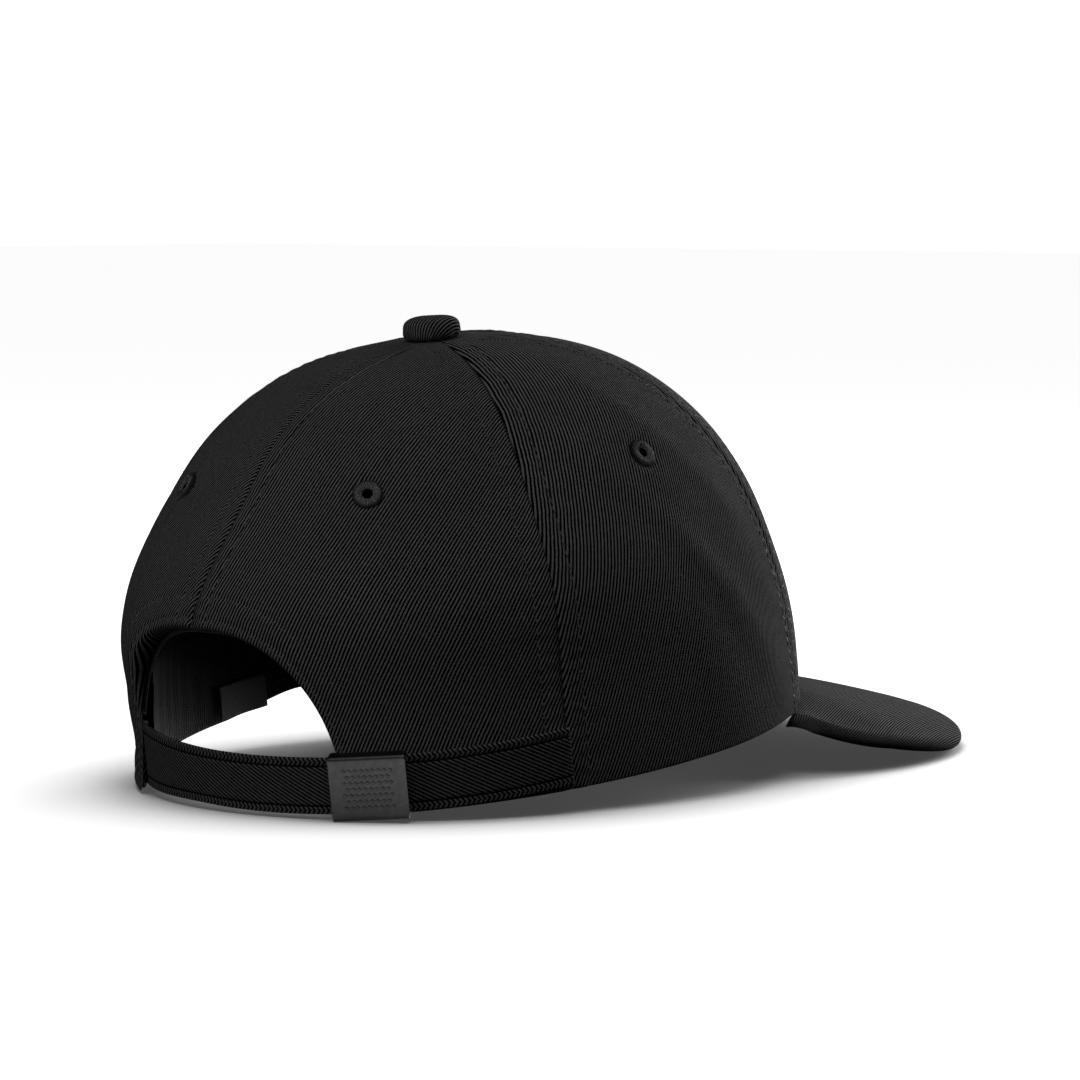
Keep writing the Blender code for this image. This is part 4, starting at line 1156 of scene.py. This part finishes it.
class Nodes:
    """Short way to write node trees."""

    def __init__(self, name):
        self.material = bpy.data.materials.new(name)
        self.material.use_nodes = True
        self.tree = self.material.node_tree
        self.shader = self.tree.nodes["Principled BSDF"]

    def node(self, kind, **values):
        node = self.tree.nodes.new(kind)
        for key, value in values.items():
            setattr(node, key, value)
        return node

    def link(self, source, target):
        self.tree.links.new(source, target)

    def math(self, operation, a, b=None, clamp=False):
        node = self.node("ShaderNodeMath", operation=operation, use_clamp=clamp)
        for socket, value in zip(node.inputs, (a, b)):
            if value is None:
                continue
            if isinstance(value, (int, float)):
                socket.default_value = value
            else:
                self.link(value, socket)
        return node.outputs[0]

    def add(self, a, b):
        return self.math("ADD", a, b)

    def sub(self, a, b):
        return self.math("SUBTRACT", a, b)

    def mul(self, a, b, clamp=False):
        return self.math("MULTIPLY", a, b, clamp)

    def cloth(self):
        """The two cloth coordinates, in millimetres."""
        uv = self.node("ShaderNodeUVMap", uv_map=UV_NAME)
        parts = self.node("ShaderNodeSeparateXYZ")
        self.link(uv.outputs[0], parts.inputs[0])
        scale = 1 / UV_SCALE
        return (self.mul(parts.outputs[0], scale),
                self.mul(parts.outputs[1], scale))

    def noise(self, scale, detail, uv=True, roughness=0.5):
        """Noise whose scale is in features a metre, or in cloth units with uv."""
        node = self.node("ShaderNodeTexNoise")
        node.inputs["Scale"].default_value = scale
        node.inputs["Detail"].default_value = detail
        node.inputs["Roughness"].default_value = roughness
        if uv:
            source = self.node("ShaderNodeUVMap", uv_map=UV_NAME).outputs[0]
        else:
            source = self.node("ShaderNodeTexCoord").outputs["Object"]
        self.link(source, node.inputs["Vector"])
        return node.outputs["Fac"]

    def ridge(self, phase):
        """0 to 1 and back once each unit of phase."""
        sine = self.math("SINE", self.mul(phase, 2 * pi))
        return self.add(self.mul(sine, 0.5), 0.5)

    def step(self, value, start, stop):
        """Smooth step of a value from 0 at start to 1 at stop."""
        node = self.node("ShaderNodeMapRange", interpolation_type="SMOOTHSTEP")
        node.inputs["From Min"].default_value = start
        node.inputs["From Max"].default_value = stop
        self.link(value, node.inputs["Value"])
        return node.outputs["Result"]

    def ramp(self, value, stops):
        node = self.node("ShaderNodeValToRGB")
        elements = node.color_ramp.elements
        while len(elements) < len(stops):
            elements.new(0.5)
        for element, (place, colour) in zip(elements, stops):
            element.position = place
            element.color = (*colour, 1.0)
        self.link(value, node.inputs[0])
        return node.outputs[0]

    def colour(self, value, stops):
        self.link(self.ramp(value, stops), self.shader.inputs["Base Color"])

    def bump(self, height, distance):
        node = self.node("ShaderNodeBump")
        node.inputs["Distance"].default_value = distance
        self.link(height, node.inputs["Height"])
        self.link(node.outputs[0], self.shader.inputs["Normal"])

    def set(self, **values):
        for key, value in values.items():
            self.shader.inputs[key.replace("_", " ")].default_value = value


def scaled(colour, factor):
    return tuple(c * factor for c in colour)


def twill_material(name, colour, pitch, depth):
    """Steep twill: diagonal wales with dark furrows, each a row of short yarn floats; the colour
    paints the weave's shade into the furrows and its light onto the ridge tops.
    """
    n = Nodes(name)
    x, y = n.cloth()
    across = (cos(radians(TWILL_LEAN)), -sin(radians(TWILL_LEAN)))
    phase = n.add(n.mul(x, across[0] / pitch),
                   n.mul(y, across[1] / pitch))
    phase = n.add(phase, n.mul(n.noise(8.0, 1.0), 0.7))
    fuzz = n.mul(n.noise(190.0, 2.0), 0.30)
    wale = n.step(n.ridge(n.add(phase, fuzz)), 0.20, 0.78)
    along = n.add(n.mul(x, -across[1] / 0.62),
                   n.mul(y, across[0] / 0.62))
    floats = n.ridge(n.add(along, n.mul(phase, 0.5)))
    height = n.add(n.mul(wale, 0.85), n.mul(floats, 0.15))
    fibre = n.noise(900.0, 4.0, roughness=0.7)
    patch = n.noise(3.0, 3.0)
    tone = n.add(n.mul(height, depth), n.mul(fibre, 0.26))
    tone = n.add(tone, TWILL_MEAN * (TWILL_DEPTH - depth))
    tone = n.add(tone, n.mul(n.sub(patch, 0.5), 0.10))
    # Painted shade and light: the ramp runs from near black in the furrows to far lighter ridge
    # tops, standing in for the weave's own shading.
    n.colour(tone, ((0.22, scaled(colour, 0.015)), (0.46, scaled(colour, 0.30)),
                    (0.70, scaled(colour, 2.3)), (0.94, scaled(colour, 4.4))))
    n.set(Roughness=0.8, Specular_IOR_Level=0.0)
    n.bump(n.add(height, n.mul(fibre, 0.25)), 0.00015)
    return n.material


def webbing_material():
    """Woven strap: slanting ribs between two braided selvages, with painted shade in the rib
    furrows and along the grooves by the selvages, and lighter at the tail's end.
    """
    n = Nodes("webbing_weave")
    x, y = n.cloth()
    side = n.math("ABSOLUTE", n.sub(n.math("PINGPONG", n.add(y, 20.0), 20.0),
                                     20.0))
    selvage = n.math("GREATER_THAN", side, SELVAGE)
    ribs = n.add(n.mul(x, 0.58), n.mul(y, 0.94))
    fold = n.math("ABSOLUTE", n.sub(side, SELVAGE + 1.15))
    braid = n.add(n.mul(x, 0.78), n.mul(fold, 0.62))
    swap = n.node("ShaderNodeMix", data_type="FLOAT")
    n.link(selvage, swap.inputs[0])
    n.link(ribs, swap.inputs[2])
    n.link(braid, swap.inputs[3])
    fuzz = n.mul(n.noise(200.0, 2.0), 0.40)
    rib = n.step(n.ridge(n.add(swap.outputs[0], fuzz)), 0.12, 0.80)
    # Painted shade along the grooves beside the selvages: the ribs are dimmed here in tone as
    # well as in bump, over a groove that the mesh also has.
    groove = n.step(n.math("ABSOLUTE", n.sub(side, SELVAGE)), 0.12, 0.34)
    rib = n.mul(rib, n.add(n.mul(groove, 0.8), 0.2))
    yarn = n.ridge(n.mul(x, 2.2))
    height = n.add(n.mul(rib, 0.85), n.mul(yarn, 0.15))
    fibre = n.noise(800.0, 4.0, roughness=0.7)
    tone = n.add(n.mul(height, 0.74), n.mul(fibre, 0.28))
    cut = n.step(x, STRAP_LENGTH - 0.5, STRAP_LENGTH - 0.2)
    tone = n.add(tone, n.mul(cut, 0.6))
    # Painted shade and light: the ramp runs from near black in the rib furrows to far lighter rib
    # tops.
    n.colour(tone, ((0.14, scaled(WEB_BLACK, 0.05)), (0.45, scaled(WEB_BLACK, 0.45)),
                    (0.74, scaled(WEB_BLACK, 2.1)), (1.0, scaled(WEB_BLACK, 4.4))))
    n.set(Roughness=0.8, Specular_IOR_Level=0.0)
    n.bump(n.add(height, n.mul(fibre, 0.2)), 0.00022)
    return n.material


def thread_material():
    """Slightly fuzzy sewing thread."""
    n = Nodes("sewing_thread")
    fibre = n.noise(2600.0, 3.0, uv=False, roughness=0.6)
    n.colour(fibre, ((0.25, scaled(THREAD_BLACK, 0.5)), (0.6, THREAD_BLACK),
                     (0.9, scaled(THREAD_BLACK, 2.6))))
    n.set(Roughness=0.65, Specular_IOR_Level=0.1)
    n.bump(fibre, 0.00008)
    return n.material


def eyelet_material():
    """Dark embroidery whose threads run out from the hole, along the second coordinate; its outer
    and inner edges are darkened as painted shade.
    """
    n = Nodes("eyelet_thread")
    x, y = n.cloth()
    strand = n.step(n.ridge(n.add(n.mul(x, EYELET_THREADS / (8.0 * pi)),
                                   n.mul(n.noise(120.0, 3.0), 1.4))), 0.2, 0.95)
    fibre = n.noise(900.0, 3.0, roughness=0.7)
    tone = n.add(n.mul(strand, 0.6), n.mul(fibre, 0.35))
    # Painted shade: the ring is darker at its outer edge, where it sinks into the cloth, and at
    # its inner edge, where it turns into the hole.
    rim = n.mul(n.step(y, 0.5, 2.4), n.sub(1.0, n.step(y, 4.0, 4.8)))
    tone = n.mul(tone, n.add(n.mul(rim, 0.7), 0.3))
    n.colour(tone, ((0.12, scaled(THREAD_BLACK, 0.05)), (0.45, scaled(THREAD_BLACK, 0.7)),
                    (0.90, scaled(THREAD_BLACK, 4.0))))
    n.set(Roughness=0.6, Specular_IOR_Level=0.1)
    n.bump(strand, 0.00012)
    return n.material


def hollow_material():
    """The unlit inside of an eyelet's hole."""
    n = Nodes("eyelet_hollow")
    n.set(Base_Color=(0.0015, 0.0015, 0.0015, 1.0), Roughness=0.9, Specular_IOR_Level=0.0)
    return n.material


def lining_material():
    """Ribbed cotton of tapes and sweatband, in a black darkened as painted shade for the crown's
    dark inside.
    """
    n = Nodes("ribbed_lining")
    x, y = n.cloth()
    rib = n.ridge(n.add(n.mul(x, 0.9), n.noise(60.0, 2.0)))
    yarn = n.ridge(n.mul(y, 1.6))
    height = n.add(n.mul(rib, 0.7), n.mul(yarn, 0.3))
    fibre = n.noise(700.0, 4.0, roughness=0.7)
    tone = n.add(n.mul(height, 0.5), n.mul(fibre, 0.6))
    n.colour(tone, ((0.2, scaled(LINING_SHADED_BLACK, 0.4)), (0.6, LINING_SHADED_BLACK),
                    (0.95, scaled(LINING_SHADED_BLACK, 2.2))))
    n.set(Roughness=0.85, Sheen_Weight=0.02, Specular_IOR_Level=0.1)
    n.bump(height, 0.00018)
    return n.material


def stiffener_material():
    """Open buckram mesh."""
    n = Nodes("stiffener_mesh")
    x, y = n.cloth()
    grid = n.math("MAXIMUM", n.ridge(n.mul(x, 0.8)),
                  n.ridge(n.mul(y, 0.8)))
    n.colour(grid, ((0.5, (0.008, 0.008, 0.008)), (0.9, (0.04, 0.04, 0.04))))
    n.set(Roughness=0.8)
    n.bump(grid, 0.0002)
    return n.material


def label_material():
    """Plain woven label, left blank; its grey is darkened as painted shade for the crown's dark
    inside.
    """
    n = Nodes("label_weave")
    x, y = n.cloth()
    weave = n.mul(n.ridge(n.mul(x, 2.2)),
                   n.ridge(n.mul(y, 2.2)))
    n.colour(weave, ((0.0, scaled(LABEL_SHADED_GREY, 0.6)), (1.0, scaled(LABEL_SHADED_GREY, 1.5))))
    n.set(Roughness=0.6, Sheen_Weight=0.02, Specular_IOR_Level=0.2)
    n.bump(weave, 0.0001)
    return n.material


def metal_material(name, colour, roughness, uv=True):
    """Tumbled plated sheet: soft mottling, fine scuffs and brighter worn edges."""
    n = Nodes(name)
    mottle = n.noise(60.0 if uv else 300.0, 4.0, uv)
    scuff = n.noise(700.0 if uv else 3000.0, 5.0, uv, 0.65)
    edge = n.node("ShaderNodeNewGeometry").outputs["Pointiness"]
    worn = n.mul(n.sub(edge, 0.505), 9.0, clamp=True)
    tone = n.add(n.mul(mottle, 0.6), n.mul(scuff, 0.4))
    tone = n.add(tone, n.mul(worn, 0.35))
    n.colour(tone, ((0.25, scaled(colour, 0.7)), (0.55, colour),
                    (0.85, scaled(colour, 1.9))))
    rough = n.add(n.mul(scuff, 0.22), roughness - 0.1)
    n.link(rough, n.shader.inputs["Roughness"])
    n.set(Metallic=1.0)
    n.bump(scuff, 0.00002)
    return n.material


def board_material():
    """Pressed board inside the visor."""
    n = Nodes("visor_board_sheet")
    grain = n.noise(900.0, 3.0, uv=False)
    n.colour(grain, ((0.2, (0.02, 0.02, 0.02)), (0.8, (0.04, 0.04, 0.04))))
    n.set(Roughness=0.6)
    n.bump(grain, 0.00005)
    return n.material


def floor_material():
    """White floor that glows where it is open to the sky, so only the cap's shade shows."""
    n = Nodes("studio_floor")
    grain = n.noise(40.0, 2.0, uv=False)
    n.colour(grain, ((0.0, scaled(FLOOR_WHITE, 0.995)), (1.0, FLOOR_WHITE)))
    n.set(Roughness=0.9, Specular_IOR_Level=0.0, Emission_Color=WHITE)
    openness = n.node("ShaderNodeAmbientOcclusion", samples=8)
    openness.inputs["Distance"].default_value = FLOOR_SHADE_REACH
    glow = n.step(openness.outputs["AO"], *FLOOR_SHADE)
    glow = n.mul(glow, FLOOR_GLOW[1] - FLOOR_GLOW[0])
    n.link(n.add(glow, FLOOR_GLOW[0]), n.shader.inputs["Emission Strength"])
    n.material.cycles.emission_sampling = "NONE"
    return n.material


def dress_cad_nodes(materials):
    """The CAD pieces that stay in view get a finished material."""
    for node, material in materials.items():
        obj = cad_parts[node]
        obj.data.materials.clear()
        obj.data.materials.append(material)


# ---- studio ----------------------------------------------------------

def seen_from_cap(turn, height):
    """World direction at a turn from the camera towards its right, and a height angle."""
    a = radians(CAMERA_AZIMUTH + turn)
    e = radians(height)
    return Vector((-sin(a) * cos(e), cos(a) * cos(e), sin(e)))


def build_camera():
    back = seen_from_cap(0.0, CAMERA_HEIGHT_ANGLE)
    right = seen_from_cap(90.0, 0.0)
    up = back.cross(right)
    aim = Vector((0.0, SHIFT, CAMERA_AIM[2])) + right * CAMERA_AIM[0] + up * CAMERA_AIM[1]
    turn = Matrix((right, up, back)).transposed().to_4x4()
    data = bpy.data.cameras.new("camera")
    data.lens = CAMERA_LENS
    data.sensor_width = 36.0
    data.clip_end = 20.0
    camera = new_object("camera", data)
    camera.matrix_world = Matrix.Translation((aim + back * CAMERA_DISTANCE) * MM) @ turn
    bpy.context.scene.camera = camera


def add_light(name, place, aim, power):
    data = bpy.data.lights.new(name, "AREA")
    data.shape = "SQUARE"
    data.size = LIGHT_SIZE
    data.energy = power
    light = new_object(name, data)
    light.location = place
    light.rotation_euler = (aim - place).to_track_quat("-Z", "Y").to_euler()
    light.visible_camera = False


def float_curve(tree, source, points, gain):
    """Value read off a curve through the given points, times a gain."""
    node = tree.nodes.new("ShaderNodeFloatCurve")
    node.inputs["Factor"].default_value = 1.0
    node.mapping.extend = "HORIZONTAL"
    curve = node.mapping.curves[0]
    for place, value in points[1:-1]:
        curve.points.new(place, value)
    curve.points[0].location = points[0]
    curve.points[-1].location = points[-1]
    node.mapping.update()
    tree.links.new(source, node.inputs["Value"])
    scale = tree.nodes.new("ShaderNodeMath")
    scale.operation = "MULTIPLY"
    scale.inputs[1].default_value = gain
    tree.links.new(node.outputs[0], scale.inputs[0])
    return scale.outputs[0]


def studio_world():
    """White for the camera; for the rest a dome that is brightest behind the cap."""
    world = bpy.data.worlds.new("studio")
    world.use_nodes = True
    tree = world.node_tree
    new, link = tree.nodes.new, tree.links.new
    direction = new("ShaderNodeTexCoord").outputs["Generated"]
    parts = new("ShaderNodeSeparateXYZ")
    link(direction, parts.inputs[0])
    behind = new("ShaderNodeVectorMath")
    behind.operation = "DOT_PRODUCT"
    behind.inputs[1].default_value = seen_from_cap(BACKDROP_TURN, 10.0)
    link(direction, behind.inputs[0])
    share = new("ShaderNodeMapRange")
    share.inputs["From Min"].default_value = -1.0
    link(behind.outputs["Value"], share.inputs["Value"])
    product = new("ShaderNodeMath")
    product.operation = "MULTIPLY"
    link(float_curve(tree, parts.outputs[2], DOME, DOME_GAIN), product.inputs[0])
    link(float_curve(tree, share.outputs[0], BACKDROP, 1.0), product.inputs[1])
    light = tree.nodes["Background"]
    light.inputs["Color"].default_value = WHITE
    link(product.outputs[0], light.inputs["Strength"])
    backdrop = new("ShaderNodeBackground")
    backdrop.inputs["Color"].default_value = WHITE
    backdrop.inputs["Strength"].default_value = WHITE_GAIN
    swap = new("ShaderNodeMixShader")
    link(new("ShaderNodeLightPath").outputs["Is Camera Ray"], swap.inputs[0])
    link(light.outputs[0], swap.inputs[1])
    link(backdrop.outputs[0], swap.inputs[2])
    link(swap.outputs[0], tree.nodes["World Output"].inputs["Surface"])
    return world


def build_studio():
    """Floor, world and lamps."""
    scene = bpy.context.scene
    scene.view_settings.view_transform = "Standard"
    mesh = bpy.data.meshes.new("floor")
    half = FLOOR_HALF
    mesh.from_pydata([(-half, -half, 0), (half, -half, 0), (half, half, 0), (-half, half, 0)],
                     [], [(0, 1, 2, 3)])
    floor = new_object("floor", mesh)
    mesh.materials.append(floor_material())
    floor.visible_diffuse = False
    floor.visible_shadow = False
    scene.world = studio_world()
    middle = Vector(LIGHT_AIM)
    for name, turn, height, power in LIGHTS:
        add_light(name, middle + seen_from_cap(turn, height) * LIGHT_DISTANCE, middle, power)


# ---- assembly --------------------------------------------------------

def main():
    twill = twill_material("twill_weave", CLOTH_BLACK, TWILL_PITCH, TWILL_DEPTH)
    thread = thread_material()
    embroidery = eyelet_material()
    hollow = hollow_material()
    lining = lining_material()
    webbing = webbing_material()
    gunmetal = metal_material("gunmetal_plate", GUNMETAL, 0.36)
    steel = metal_material("plain_steel", STEEL, 0.3, uv=False)
    tray = metal_material("gunmetal_tray", scaled(GUNMETAL, 0.6), 0.4, uv=False)
    gores = [Gore(side) for side in PANELS]
    for gore in gores:
        build_panel(gore, twill)
        build_eyelet(gore.side, gore, embroidery, hollow)
    build_stitching(gores, thread)
    build_button(twill)
    build_sweatband(lining)
    build_tapes(lining)
    build_stiffeners(stiffener_material())
    build_binding(lining)
    build_label(label_material())
    # Lit copy of the crown's twill for the visor: painted light.
    build_visor(twill_material("visor_twill_lit", scaled(CLOTH_BLACK, VISOR_PAINTED_LIGHT_GAIN),
                               VISOR_TWILL_PITCH, VISOR_TWILL_DEPTH))
    build_strap(webbing)
    build_clasp_cover(gunmetal)
    build_tab(webbing)
    dress_cad_nodes({"clasp_frame": tray, "clasp_pin": tray, "button_shell": steel,
                     "button_washer": steel, "visor_board": board_material()})
    build_camera()
    build_studio()


main()
